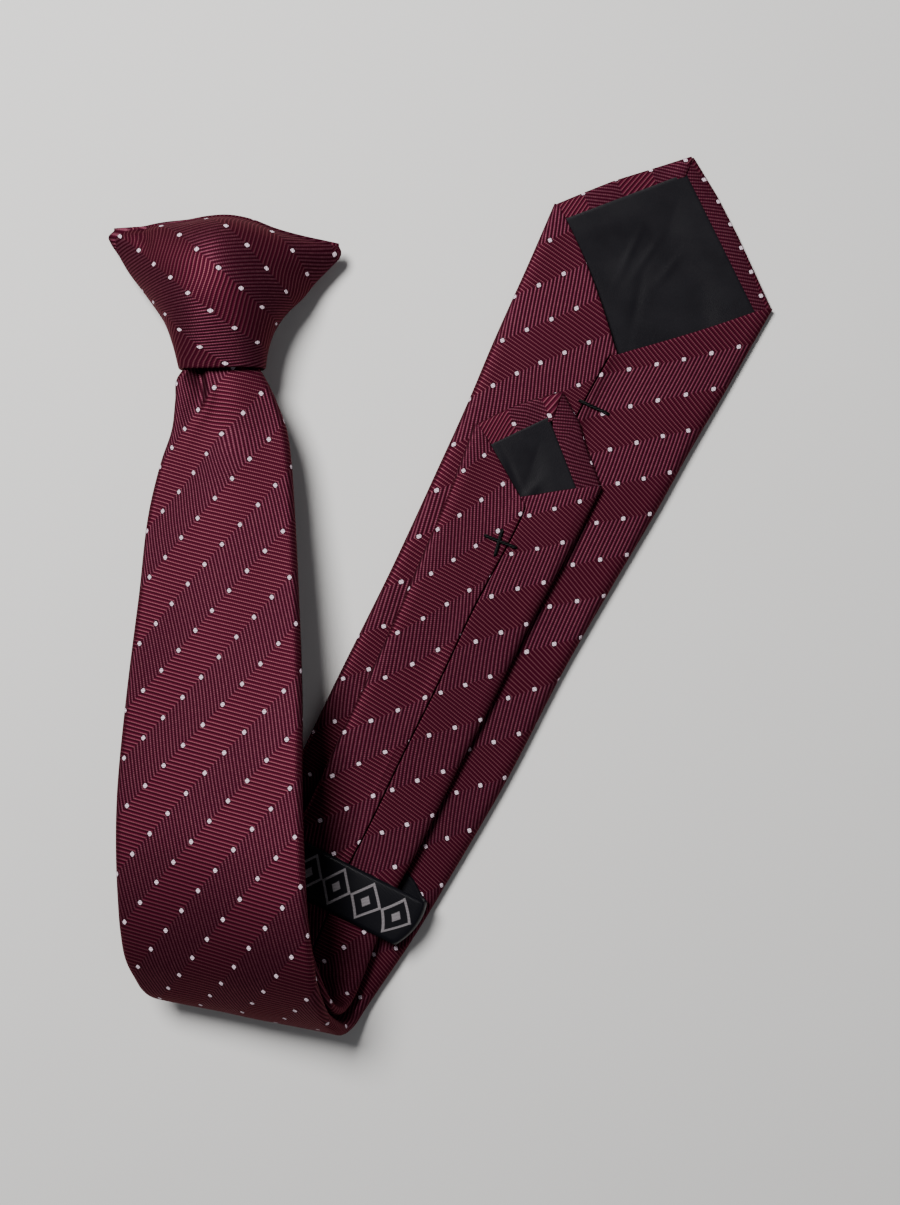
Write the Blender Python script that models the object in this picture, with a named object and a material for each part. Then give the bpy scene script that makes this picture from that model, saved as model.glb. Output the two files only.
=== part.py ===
"""A pre-tied clip-on tie, folded once and laid on a table with the fold towards -Y.

The knot and the front of the blade lie on the left with their face up. At the bottom the
blade rolls under itself and goes up to the right with its back up. The narrow tail lies on
that back, runs through the keeper loop, rolls inside the blade's roll and goes back under the
front to the knot. A sprung clip sits under the knot.

Lengths are in millimetres here and become metres when a mesh is made. +X is to the right,
+Y towards the knot end, and +Z up from the table.
"""

import math

import bmesh
import bpy
import mathutils
import numpy as np

MILLIMETRE = 0.001

# The middle of the laid tie's outline on the table, which becomes the part's origin.
TABLE_CENTRE_X = -2.4
TABLE_CENTRE_Y = 2.67

SEAM_GAP = 0.3

# Blade: one shell of cloth folded round to a flat tube, its two back panels meeting at the seam.
BLADE_THICKNESS = 4.2
BLADE_WALL = 1.4
BLADE_EDGE_STEPS = 4
BLADE_PANEL_STEPS = 4
BLADE_FACE_STEPS = 8
BLADE_ROW_LENGTH = 9.0
BLADE_SPLIT_ROW = 21  # the section where the roll has come down on the table
BLADE_SPLIT_BEYOND = 3.0
TIP_BORDER_WIDTH = 6.6
TIP_BORDER_HEIGHT = 1.2

# Tail: the same construction, narrower and thinner.
TAIL_THICKNESS = 3.2
TAIL_WALL = 1.1
TAIL_EDGE_STEPS = 3
TAIL_PANEL_STEPS = 3
TAIL_FACE_STEPS = 6
TAIL_ROW_LENGTH = 10.0
TAIL_SPLIT_ROW = 13
TAIL_BORDER_WIDTH = 8.0
TAIL_BORDER_HEIGHT = 0.8

TIPPING_CLOTH = 1.0
TIPPING_SHARE = 0.97  # of the opening that the lining fills, so that it clears the cloth round it

# One row for each section of the blade, from inside the knot to the corners of the wide tip:
# x, y and height of the left edge, then of the right edge, at the middle of the thickness.
BLADE_SECTIONS = (
    (-81.0, 88.0, 15.5, -62.0, 88.0, 15.5),
    (-82.0, 78.5, 15.5, -61.0, 78.5, 15.5),
    (-82.7, 74.2, 15.8, -60.2, 74.2, 15.8),
    (-85.3, 70.6, 16.0, -58.0, 70.6, 16.0),
    (-86.0, 63.5, 16.5, -54.5, 63.5, 16.5),
    (-87.0, 54.0, 17.0, -51.0, 54.0, 17.0),
    (-90.0, 44.5, 18.0, -49.5, 44.5, 18.0),
    (-93.0, 32.0, 19.5, -48.5, 32.0, 19.5),
    (-96.5, 1.0, 22.5, -46.5, 1.0, 24.5),
    (-100.0, -30.0, 24.5, -45.0, -30.0, 30.0),
    (-102.5, -61.0, 26.0, -44.5, -61.0, 36.5),
    (-102.5, -77.5, 27.0, -43.5, -80.5, 40.0),
    (-102.0, -91.5, 26.5, -42.5, -96.0, 41.0),
    (-101.5, -101.0, 25.0, -41.0, -107.5, 40.0),
    (-100.5, -110.0, 22.5, -40.0, -116.0, 37.0),
    (-98.5, -116.5, 19.0, -38.5, -123.0, 32.0),
    (-96.5, -121.5, 15.5, -37.0, -129.0, 25.0),
    (-94.0, -124.0, 12.0, -34.5, -133.0, 18.5),
    (-91.0, -124.5, 9.0, -32.5, -135.5, 12.0),
    (-87.5, -122.0, 5.5, -30.0, -134.5, 7.0),
    (-83.0, -117.5, 3.3, -27.0, -130.0, 3.6),
    (-78.5, -110.0, 2.1, -22.5, -123.5, 2.1),
    (-67.5, -88.5, 2.1, -12.0, -108.0, 2.1),
    (-55.0, -63.5, 2.1, -0.5, -89.0, 2.1),
    (-35.5, -23.0, 2.1, 19.0, -55.5, 2.1),
    (-17.5, 13.5, 2.1, 38.0, -19.0, 2.1),
    (-5.5, 39.5, 2.1, 52.5, 6.0, 2.1),
    (6.5, 66.0, 2.1, 67.5, 31.5, 2.1),
    (13.0, 81.5, 2.1, 75.5, 46.0, 2.1),
    (25.5, 109.5, 2.1, 90.0, 70.5, 2.1),
    (33.5, 128.0, 2.1, 103.5, 94.0, 2.1),
)

# The shell's pointed end: place across the cloth in half widths from the middle of the face
# (1 is an edge of the blade, 2 the seam on its back), and reach beyond the corners.
BLADE_PEAK = -0.147
BLADE_POINT = (
    (-2.0, -33.6), (-1.0, 0.0), (-0.83, 7.2), (-0.65, 14.6), (BLADE_PEAK, 32.4),
    (0.17, 24.8), (0.47, 16.3), (1.0, 0.0), (2.0, -33.6),
)

# The lining that shows in the blade's open back: across in half widths, and beyond the corners.
BLADE_TIPPING = ((-0.85, -4.2), (-0.133, 25.4), (0.85, -4.2), (0.0, -33.0))

# The pleat below the knot: place across in half widths, and how far the cloth stands up there.
PLEAT_ACROSS = (
    (-1.0, 0.0), (-0.8, 1.3), (-0.52, 1.4), (-0.40, -0.2), (-0.2, 1.2), (0.2, 1.5), (1.0, 0.0),
)
# Along the blade from its hidden end, and the share of the pleat's height there.
PLEAT_ALONG = ((10.0, 0.3), (20.0, 1.0), (42.0, 0.0))

# Sections of the tail, from inside the knot to the corners of its tip, in the same columns.
TAIL_SECTIONS = (
    (-81.0, 88.5, 11.5, -63.0, 88.5, 11.5),
    (-81.3, 79.0, 11.5, -62.0, 79.0, 11.5),
    (-81.9, 72.5, 11.5, -61.2, 72.5, 11.5),
    (-86.5, 48.0, 12.5, -57.5, 48.0, 12.5),
    (-91.0, 1.0, 16.0, -56.5, 1.0, 16.5),
    (-90.5, -46.0, 20.5, -53.5, -46.0, 22.5),
    (-87.5, -76.5, 22.5, -49.5, -80.0, 25.5),
    (-83.0, -93.5, 23.0, -44.5, -99.0, 27.5),
    (-79.0, -104.0, 21.5, -40.5, -113.0, 26.0),
    (-76.0, -111.0, 18.5, -38.0, -120.5, 22.0),
    (-74.0, -114.5, 15.0, -35.5, -125.0, 17.5),
    (-72.0, -115.5, 11.5, -33.5, -126.0, 13.5),
    (-69.0, -113.0, 9.2, -31.0, -124.0, 10.4),
    (-65.5, -107.0, 8.0, -28.0, -119.0, 8.4),
    (-59.5, -94.5, 7.6, -24.0, -109.5, 7.6),
    (-52.0, -78.5, 7.5, -18.5, -94.5, 7.5),
    (-44.5, -63.0, 7.1, -10.5, -79.5, 7.1),
    (-31.5, -35.0, 6.1, 3.0, -52.5, 6.1),
    (-24.0, -19.5, 6.1, 11.0, -37.0, 6.1),
    (-9.5, 13.5, 6.1, 27.0, -4.5, 6.1),
    (-1.0, 33.5, 6.1, 37.5, 15.0, 6.1),
    (8.0, 57.0, 6.1, 48.5, 36.5, 6.1),
)
TAIL_PEAK = -0.115
TAIL_POINT = (
    (-2.0, -15.0), (-1.0, 0.0), (-0.73, 7.8), (-0.5, 13.3), (TAIL_PEAK, 21.0),
    (0.3, 14.8), (0.55, 8.9), (1.0, 0.0), (2.0, -15.0),
)
TAIL_TIPPING = ((-0.74, -3.4), (-0.12, 12.4), (0.71, -3.6), (0.0, -14.0))

# Keeper: a flat ribbon ring sewn on the blade's back, round the tail.
KEEPER_CENTRE = (-36.0, -89.8)
KEEPER_ALONG_BAND = (0.893, -0.450)
KEEPER_HALF_LENGTH = 26.7
KEEPER_BAND = 16.4
KEEPER_BOTTOM = 4.5
KEEPER_TOP = 10.5
KEEPER_CLOTH = 1.0
KEEPER_END_STEPS = 8

# Knot: rings from its top edge (share 0) to its mouth (share 1). Each row gives the x of the
# left and right outline, the crown of the front, the height of the rim, and the two powers
# that round the front off towards the rim.
KNOT_BACK = 8.0
KNOT_RINGS = (
    # share, left, right, crown, rim, power across, power up
    (0.00, -107.8, -35.2, 12.5, 6.6, 1.6, 1.1),
    (0.03, -108.3, -34.7, 16.5, 6.4, 1.6, 1.1),
    (0.09, -107.7, -35.2, 21.0, 6.2, 1.6, 1.1),
    (0.20, -104.4, -38.1, 25.0, 6.5, 1.7, 1.15),
    (0.35, -100.2, -43.6, 27.3, 7.5, 1.8, 1.25),
    (0.50, -95.3, -48.7, 27.5, 9.5, 2.0, 1.5),
    (0.65, -90.4, -53.5, 26.5, 11.5, 2.2, 1.8),
    (0.80, -87.6, -56.3, 24.7, 13.5, 2.4, 2.0),
    (1.00, -85.1, -57.8, 22.0, 15.0, 2.6, 2.2),
)
KNOT_BACK_POWER = 6.0
# y of the knot's top edge and of its mouth, from the left outline (-1) to the right (1).
KNOT_TOP_EDGE = (
    (-1.0, 118.0), (-0.84, 119.4), (-0.3, 121.4), (0.0, 122.3), (0.25, 121.0), (0.6, 117.0), (1.0, 113.7),
)
KNOT_MOUTH_EDGE = ((-1.0, 73.7), (-0.4, 73.4), (0.4, 73.7), (1.0, 73.9))
KNOT_HALF_RING = 16
KNOT_SHARES = (0.0, 0.03, 0.09, 0.2, 0.28, 0.35, 0.43, 0.5, 0.58, 0.65, 0.73, 0.8, 0.9, 1.0)
# The hollow that holds the ends of the blade and tail: share, half width, lowest, highest.
KNOT_HOLLOW = (
    (1.0, 11.9, 9.6, 20.4),
    (0.8, 12.6, 9.6, 22.3),
    (0.6, 13.5, 9.6, 23.3),
    (0.42, 13.0, 9.8, 22.8),
)
KNOT_HOLLOW_X = -71.5
KNOT_HOLLOW_POWER = 5.0

# Clip: a steel plate under the knot with two ears, a pin and a sprung jaw.
CLIP_X = -71.5
CLIP_PIN_Y = 106.0
CLIP_PIN_Z = 3.6
CLIP_PIN_RADIUS = 1.0
CLIP_BORE_RADIUS = 1.3
CLIP_STEEL = 1.2
CLIP_PLATE_TOP = 7.6
CLIP_PLATE_WIDTH = 36.0
CLIP_PLATE_LOW_Y = 91.0
CLIP_PLATE_HIGH_Y = 112.0
CLIP_EAR_LENGTH = 9.0
JAW_WIDTH = 31.0
JAW_STEEL = 1.0
JAW_BARREL_RADIUS = 2.3
JAW_ARM_RISE = 0.4  # of the arm's underside above the lowest line of the barrel
JAW_REACH = 13.5
JAW_TAB_REACH = 8.0
JAW_TAB_DROP = 0.7
JAW_BARREL_STEPS = 20
BARREL_INSET = 0.5
PIN_HEAD_RADIUS = 1.8
PIN_HEAD_LENGTH = 0.8
ROUND_STEPS = 24
BORE_OVERRUN = 5.0


def clear_scene():
    for old in list(bpy.data.objects):
        bpy.data.objects.remove(old, do_unlink=True)


def plain_material(name, colour, roughness, metallic=0.0):
    material = bpy.data.materials.new(name)
    material.use_nodes = True
    shader = material.node_tree.nodes["Principled BSDF"]
    shader.inputs["Base Color"].default_value = (*colour, 1.0)
    shader.inputs["Roughness"].default_value = roughness
    shader.inputs["Metallic"].default_value = metallic
    return material


def add_object(name, points, faces, material):
    """A mesh object from points in millimetres, moved so that the table centre is the origin."""
    shift = np.array([TABLE_CENTRE_X, TABLE_CENTRE_Y, 0.0])
    places = (np.asarray(points, float) - shift) * MILLIMETRE
    mesh = bpy.data.meshes.new(name)
    mesh.from_pydata([tuple(p) for p in places], [], faces)
    work = bmesh.new()
    work.from_mesh(mesh)
    bmesh.ops.recalc_face_normals(work, faces=work.faces)
    if work.calc_volume(signed=True) < 0:
        bmesh.ops.reverse_faces(work, faces=work.faces)
    work.to_mesh(mesh)
    work.free()
    made = bpy.data.objects.new(name, mesh)
    bpy.context.scene.collection.objects.link(made)
    made.data.materials.append(material)
    made.data.shade_smooth()
    made.data.set_sharp_from_angle(angle=math.radians(40.0))
    return made


def curve_value(table, where):
    """The value at a place along a short table of (place, value) rows."""
    places = [row[0] for row in table]
    values = [row[1] for row in table]
    return float(np.interp(where, places, values))


class Strip:
    """A band of cloth laid through a table of sections, smooth from row to row.

    along is measured on the middle line from the first section, across runs from -1 at the
    left edge to 1 at the right edge, and up is measured from the middle of the thickness
    towards the face of the cloth.
    """

    def __init__(self, sections, thickness):
        self.rows = np.array(sections, float)
        self.left = self.rows[:, :3]
        self.right = self.rows[:, 3:]
        self.lowest = float(self.rows[:, (2, 5)].min())
        middle = (self.left + self.right) / 2
        steps = np.linalg.norm(np.diff(middle, axis=0), axis=1)
        self.stations = np.concatenate([[0.0], np.cumsum(steps)])
        self.length = float(self.stations[-1])
        self.half_thickness = thickness / 2
        slopes = np.gradient(self.rows, self.stations, axis=0)
        self.slopes = slopes

    def edges(self, along):
        """The left and right edge points at this length, by a smooth curve through the rows."""
        at = min(max(along, 0.0), self.length)
        k = int(np.searchsorted(self.stations, at, side="right")) - 1
        k = min(max(k, 0), len(self.stations) - 2)
        span = self.stations[k + 1] - self.stations[k]
        t = (at - self.stations[k]) / span
        h00 = 2 * t**3 - 3 * t**2 + 1
        h10 = t**3 - 2 * t**2 + t
        h01 = -2 * t**3 + 3 * t**2
        h11 = t**3 - t**2
        row = h00 * self.rows[k] + h10 * span * self.slopes[k]
        row = row + h01 * self.rows[k + 1] + h11 * span * self.slopes[k + 1]
        row[2] = max(row[2], self.lowest)
        row[5] = max(row[5], self.lowest)
        if along > self.length:
            sideways = row[3:] - row[:3]
            sideways = sideways / np.linalg.norm(sideways)
            onward = np.array([-sideways[1], sideways[0], 0.0])
            row = row + np.tile(onward * (along - self.length), 2)
        return row[:3], row[3:]

    def middle_point(self, along, across):
        left, right = self.edges(along)
        return left + (right - left) * (across + 1) / 2

    def width(self, along):
        left, right = self.edges(along)
        return float(np.linalg.norm(right - left))

    def place(self, along, across, up):
        step = 0.5
        ahead = self.middle_point(along + step, across)
        behind = self.middle_point(max(along - step, 0.0), across)
        left, right = self.edges(along)
        sideways = (right - left) / np.linalg.norm(right - left)
        onward = (ahead - behind) / np.linalg.norm(ahead - behind)
        face = np.cross(sideways, -onward)
        face = face / np.linalg.norm(face)
        return left + (right - left) * (across + 1) / 2 + face * up


def profile_places(steps):
    """Where each point round the tube lies on the cloth, from -2 at the seam to 2."""
    panel_steps, edge_steps, places = steps
    left_panel = [-2.0 + i / panel_steps for i in range(panel_steps)]
    right_panel = [1.0 + i / panel_steps for i in range(1, panel_steps + 1)]
    return left_panel + [-1.0] * edge_steps + places + [1.0] * edge_steps + right_panel


def tube_profile(half_width, half_thickness, inset, steps):
    """Points (offset, up) round a flat tube that is open at the seam on its back.

    inset moves the line in from the outer surface.
    """
    panel_steps, edge_steps, places = steps
    radius = half_thickness - inset
    straight = half_width - half_thickness
    points = []
    for i in range(panel_steps):
        part = i / panel_steps
        points.append((-SEAM_GAP / 2 + (SEAM_GAP / 2 - straight) * part, -radius))
    for i in range(edge_steps):
        angle = math.pi * i / edge_steps
        points.append((-straight - radius * math.sin(angle), -radius * math.cos(angle)))
    for place in places:
        points.append((straight * place, radius))
    for i in range(1, edge_steps + 1):
        angle = math.pi * i / edge_steps
        points.append((straight + radius * math.sin(angle), radius * math.cos(angle)))
    for i in range(1, panel_steps + 1):
        part = i / panel_steps
        points.append((straight + (SEAM_GAP / 2 - straight) * part, -radius))
    return points


def face_places(steps, peak):
    """Places across the face from edge to edge, one of them on the line of the point's peak."""
    left = [-1.0 + (peak + 1.0) * i / (steps // 2) for i in range(steps // 2)]
    right = [peak + (1.0 - peak) * i / (steps - steps // 2) for i in range(steps - steps // 2 + 1)]
    return left + right


def pleat_height(along, across):
    """How far the pleat below the knot lifts the cloth."""
    return curve_value(PLEAT_ACROSS, across) * curve_value(PLEAT_ALONG, along)


def row_lengths(strip, start, end, spacing):
    """Lengths along the strip for its rows: each section, and more where they are far apart."""
    marks = [s for s in strip.stations if start < s < end]
    marks = [start, *marks, end]
    lengths = [start]
    for here, there in zip(marks, marks[1:]):
        if there - here < 1.0 and there != end:
            continue
        count = max(1, math.ceil((there - here) / spacing))
        lengths.extend(here + (there - here) * (i + 1) / count for i in range(count))
    return lengths


def tube_mesh(strip, wall, steps, lengths, point=None, border=None, lift=None):
    """Points and faces of a wrapped tube of cloth along the strip, between the given lengths.

    point gives the outline of a pointed end, border the (width, height) of the cloth turned
    back along it, and lift raises the cloth by place.
    """
    start = lengths[0]
    last = lengths[-1]
    rows = [((length - start) / (last - start), 0.0, 0.0) for length in lengths]
    turned_back = 0.0
    if border is not None:
        turned_back, height = border
        rows += [(1.0, SEAM_GAP, height), (1.0, turned_back, height)]
    outer_rows = []
    inner_rows = []
    for share, beyond, turned_height in rows:
        outer_row = []
        inner_row = []
        for column, across in enumerate(profile_places(steps)):
            column_end = last
            if point is not None:
                column_end = strip.length + curve_value(point, across) - turned_back
            along = start + (column_end - start) * share + beyond
            half_width = strip.width(along) / 2
            outer = tube_profile(half_width, strip.half_thickness, 0.0, steps)[column]
            inner = tube_profile(half_width, strip.half_thickness, wall, steps)[column]
            raised = lift(along, outer[0] / half_width) if lift else 0.0
            lowered = turned_height if abs(across) < 1.0 else 0.0
            outer_row.append(strip.place(along, outer[0] / half_width, outer[1] + raised))
            inner_row.append(strip.place(along, inner[0] / half_width, inner[1] - lowered + raised))
        outer_rows.append(outer_row)
        inner_rows.append(inner_row)
    return closed_shell(outer_rows, inner_rows)


def closed_shell(outer_rows, inner_rows):
    """A closed wall from two grids of points of the same size."""
    rows = len(outer_rows)
    columns = len(outer_rows[0])
    points = [p for row in outer_rows for p in row]
    points += [p for row in inner_rows for p in row]
    inner_start = rows * columns

    def outer_at(i, j):
        return i * columns + j

    def inner_at(i, j):
        return inner_start + i * columns + j

    faces = []
    for i in range(rows - 1):
        for j in range(columns - 1):
            corners = ((i, j), (i, j + 1), (i + 1, j + 1), (i + 1, j))
            faces.append(tuple(outer_at(*corner) for corner in corners))
            faces.append(tuple(inner_at(*corner) for corner in reversed(corners)))
    for i in range(rows - 1):
        for j in (0, columns - 1):
            faces.append((outer_at(i, j), outer_at(i + 1, j), inner_at(i + 1, j), inner_at(i, j)))
    for j in range(columns - 1):
        for i in (0, rows - 1):
            faces.append((outer_at(i, j), outer_at(i, j + 1), inner_at(i, j + 1), inner_at(i, j)))
    return points, faces


def strip_outline_plate(name, strip, outline, low, high, material):
    """A thin plate lying in the pointed end: outline rows are (across, beyond the corners)."""
    corners = [strip.place(strip.length + beyond, across, 0.0) for across, beyond in outline]
    middle = sum(corners) / len(corners)
    points = []
    for height in (low, high):
        for corner in corners:
            spot = middle + (corner - middle) * TIPPING_SHARE
            points.append((spot[0], spot[1], height))
    count = len(outline)
    faces = [tuple(range(count)), tuple(range(count, 2 * count))]
    for i in range(count):
        j = (i + 1) % count
        faces.append((i, j, count + j, count + i))
    return add_object(name, points, faces, material)


def build_blade(cloth, lining):
    strip = Strip(BLADE_SECTIONS, BLADE_THICKNESS)
    steps = (BLADE_PANEL_STEPS, BLADE_EDGE_STEPS, face_places(BLADE_FACE_STEPS, BLADE_PEAK))
    split = float(strip.stations[BLADE_SPLIT_ROW]) + BLADE_SPLIT_BEYOND
    lengths = row_lengths(strip, 0.0, split - SEAM_GAP / 2, BLADE_ROW_LENGTH)
    front = tube_mesh(strip, BLADE_WALL, steps, lengths, lift=pleat_height)
    add_object("blade_front_stretch", *front, cloth)
    lengths = row_lengths(strip, split + SEAM_GAP / 2, strip.length, BLADE_ROW_LENGTH)
    border = (TIP_BORDER_WIDTH, TIP_BORDER_HEIGHT)
    back = tube_mesh(strip, BLADE_WALL, steps, lengths, BLADE_POINT, border)
    add_object("blade_back_stretch", *back, cloth)
    low = BLADE_WALL + SEAM_GAP
    strip_outline_plate("blade_tipping", strip, BLADE_TIPPING, low, low + TIPPING_CLOTH, lining)


def build_tail(cloth, lining):
    strip = Strip(TAIL_SECTIONS, TAIL_THICKNESS)
    steps = (TAIL_PANEL_STEPS, TAIL_EDGE_STEPS, face_places(TAIL_FACE_STEPS, TAIL_PEAK))
    split = float(strip.stations[TAIL_SPLIT_ROW])
    lengths = row_lengths(strip, 0.0, split - SEAM_GAP / 2, TAIL_ROW_LENGTH)
    add_object("tail_front_stretch", *tube_mesh(strip, TAIL_WALL, steps, lengths), cloth)
    lengths = row_lengths(strip, split + SEAM_GAP / 2, strip.length, TAIL_ROW_LENGTH)
    border = (TAIL_BORDER_WIDTH, TAIL_BORDER_HEIGHT)
    back = tube_mesh(strip, TAIL_WALL, steps, lengths, TAIL_POINT, border)
    add_object("tail_back_stretch", *back, cloth)
    low = strip.lowest - strip.half_thickness + TAIL_WALL + SEAM_GAP
    strip_outline_plate("tail_tipping", strip, TAIL_TIPPING, low, low + TIPPING_CLOTH, lining)


def build_keeper(ribbon):
    """A flat ring of ribbon: two straight layers with a half round turn at each end."""
    band = np.array([*KEEPER_ALONG_BAND, 0.0])
    onward = np.array([-band[1], band[0], 0.0])
    middle_height = (KEEPER_BOTTOM + KEEPER_TOP) / 2
    outer_radius = (KEEPER_TOP - KEEPER_BOTTOM) / 2
    straight = KEEPER_HALF_LENGTH - outer_radius
    centre = np.array([*KEEPER_CENTRE, middle_height])
    rings = []
    for radius in (outer_radius, outer_radius - KEEPER_CLOTH):
        ring = []
        for side in (1, -1):
            for i in range(KEEPER_END_STEPS + 1):
                angle = math.pi * (i / KEEPER_END_STEPS - 0.5)
                reach = side * (straight + radius * math.cos(angle))
                ring.append((reach, side * radius * math.sin(angle)))
        rings.append(ring)
    count = len(rings[0])
    points = []
    for ring in rings:
        for half in (-KEEPER_BAND / 2, KEEPER_BAND / 2):
            for reach, up in ring:
                points.append(centre + band * reach + onward * half + np.array([0.0, 0.0, up]))
    faces = []
    for i in range(count):
        j = (i + 1) % count
        near, far, in_near, in_far = 0, count, 2 * count, 3 * count
        faces.append((near + i, near + j, far + j, far + i))
        faces.append((in_near + i, in_far + i, in_far + j, in_near + j))
        faces.append((near + i, in_near + i, in_near + j, near + j))
        faces.append((far + i, far + j, in_far + j, in_far + i))
    add_object("keeper_loop", points, faces, ribbon)


def knot_value(share, column):
    """A column of the ring table at this share of the way from the top edge to the mouth."""
    return curve_value([(row[0], row[column]) for row in KNOT_RINGS], share)


def knot_y(share, place):
    top = curve_value(KNOT_TOP_EDGE, place)
    mouth = curve_value(KNOT_MOUTH_EDGE, place)
    return top + (mouth - top) * share


def knot_ring(share):
    """One ring of the knot's outside: over the front from left to right, and back below."""
    left, right, crown, rim, across_power, up_power = (knot_value(share, c) for c in range(1, 7))
    ring = []
    for i in range(2 * KNOT_HALF_RING):
        place = -math.cos(math.pi * i / KNOT_HALF_RING)
        x = left + (right - left) * (place + 1) / 2
        spread = abs(place)
        if i <= KNOT_HALF_RING:
            z = rim + (crown - rim) * max(0.0, 1 - spread**across_power) ** (1 / up_power)
        else:
            z = rim + (KNOT_BACK - rim) * max(0.0, 1 - spread**KNOT_BACK_POWER) ** 0.5
        ring.append((x, knot_y(share, place), z))
    return ring


def hollow_ring(share, half_width, low, high):
    ring = []
    middle = (low + high) / 2
    for i in range(2 * KNOT_HALF_RING):
        angle = math.pi - math.pi * i / KNOT_HALF_RING
        cos, sin = math.cos(angle), math.sin(angle)
        power = 2 / KNOT_HOLLOW_POWER
        x = KNOT_HOLLOW_X + math.copysign(abs(cos) ** power, cos) * half_width
        z = middle + math.copysign(abs(sin) ** power, sin) * (high - low) / 2
        ring.append((x, knot_y(share, 0.0), z))
    return ring


def build_knot(cloth):
    """The knot: cloth wrapped to a wedge with two wings, hollow where the tie comes out."""
    rings = [knot_ring(share) for share in KNOT_SHARES]
    rings += [hollow_ring(*row) for row in KNOT_HOLLOW]
    count = 2 * KNOT_HALF_RING
    points = [p for ring in rings for p in ring]
    faces = []
    for k in range(len(rings) - 1):
        for i in range(count):
            j = (i + 1) % count
            faces.append((k * count + i, k * count + j, (k + 1) * count + j, (k + 1) * count + i))
    for start in (0, (len(rings) - 1) * count):
        for i in range(KNOT_HALF_RING):
            upper = (start + i, start + i + 1)
            lower = (start + (count - i - 1) % count, start + (count - i) % count)
            corners = list(dict.fromkeys((*upper, *lower)))
            faces.append(tuple(corners))
    add_object("knot", points, faces, cloth)


def box_object(name, low, high, material=None):
    points = []
    for z in (low[2], high[2]):
        for x, y in ((low[0], low[1]), (high[0], low[1]), (high[0], high[1]), (low[0], high[1])):
            points.append((x, y, z))
    faces = [(0, 1, 2, 3), (4, 5, 6, 7), (0, 1, 5, 4), (1, 2, 6, 5), (2, 3, 7, 6), (3, 0, 4, 7)]
    return add_object(name, points, faces, material)


def turned_object(name, profile, steps, material=None):
    """A piece turned about the pin's axis from (x, radius) rows."""
    points = []
    for x, radius in profile:
        for i in range(steps):
            angle = 2 * math.pi * i / steps
            y = CLIP_PIN_Y + radius * math.cos(angle)
            points.append((CLIP_X + x, y, CLIP_PIN_Z + radius * math.sin(angle)))
    faces = [tuple(range(steps)), tuple(range((len(profile) - 1) * steps, len(profile) * steps))]
    for k in range(len(profile) - 1):
        for i in range(steps):
            j = (i + 1) % steps
            faces.append((k * steps + i, k * steps + j, (k + 1) * steps + j, (k + 1) * steps + i))
    return add_object(name, points, faces, material)


def combine(base, other, operation):
    """Join or cut with another piece, which is kept only as a guide."""
    step = base.modifiers.new(operation.lower(), "BOOLEAN")
    step.operation = operation
    step.object = other
    other.hide_render = True
    other.display_type = "WIRE"


def build_clip(steel):
    """The clip on the knot's back: plate with ears, pin with two heads, and the jaw."""
    half = CLIP_PLATE_WIDTH / 2
    ear_low = CLIP_PIN_Y - CLIP_EAR_LENGTH / 2
    ear_high = CLIP_PIN_Y + CLIP_EAR_LENGTH / 2
    plate_low = CLIP_PLATE_TOP - CLIP_STEEL
    corner = (CLIP_X - half, CLIP_PLATE_LOW_Y, plate_low)
    far_corner = (CLIP_X + half, CLIP_PLATE_HIGH_Y, CLIP_PLATE_TOP)
    plate = box_object("clip_plate", corner, far_corner, steel)
    for side, name in ((-1, "left_ear_guide"), (1, "right_ear_guide")):
        outside = CLIP_X + side * half
        inside = CLIP_X + side * (half - CLIP_STEEL)
        xs = sorted((outside, inside))
        ear = box_object(name, (xs[0], ear_low, 0.0), (xs[1], ear_high, CLIP_PLATE_TOP), steel)
        combine(plate, ear, "UNION")
    reach = half + BORE_OVERRUN
    bore_rows = ((-reach, CLIP_BORE_RADIUS), (reach, CLIP_BORE_RADIUS))
    combine(plate, turned_object("ear_bore_guide", bore_rows, ROUND_STEPS, steel), "DIFFERENCE")

    end = half + SEAM_GAP + PIN_HEAD_LENGTH
    head = PIN_HEAD_RADIUS
    shaft_end = half + SEAM_GAP
    profile = ((-end, head), (-shaft_end, head), (-shaft_end, CLIP_PIN_RADIUS),
               (shaft_end, CLIP_PIN_RADIUS), (shaft_end, head), (end, head))
    turned_object("clip_pin", profile, ROUND_STEPS, steel)

    arm_low = -JAW_BARREL_RADIUS + JAW_ARM_RISE
    arm_high = arm_low + JAW_STEEL
    tip_high = plate_low - SEAM_GAP - CLIP_PIN_Z
    side = (
        (-JAW_REACH, arm_low), (0.0, arm_low), (JAW_TAB_REACH, arm_low - JAW_TAB_DROP),
        (JAW_TAB_REACH, arm_high - JAW_TAB_DROP), (0.0, arm_high),
        (-JAW_REACH + JAW_STEEL, arm_high), (-JAW_REACH + JAW_STEEL, tip_high), (-JAW_REACH, tip_high),
    )
    points = []
    for x in (CLIP_X - JAW_WIDTH / 2, CLIP_X + JAW_WIDTH / 2):
        points += [(x, CLIP_PIN_Y + y, CLIP_PIN_Z + z) for y, z in side]
    count = len(side)
    faces = [tuple(range(count)), tuple(range(count, 2 * count))]
    faces += [(i, (i + 1) % count, count + (i + 1) % count, count + i) for i in range(count)]
    jaw = add_object("clip_jaw", points, faces, steel)
    barrel_half = JAW_WIDTH / 2 - BARREL_INSET
    barrel_rows = ((-barrel_half, JAW_BARREL_RADIUS), (barrel_half, JAW_BARREL_RADIUS))
    combine(jaw, turned_object("barrel_guide", barrel_rows, JAW_BARREL_STEPS, steel), "UNION")
    combine(jaw, turned_object("jaw_bore_guide", bore_rows, ROUND_STEPS, steel), "DIFFERENCE")
    set_origin_on_pin(jaw)


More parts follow.
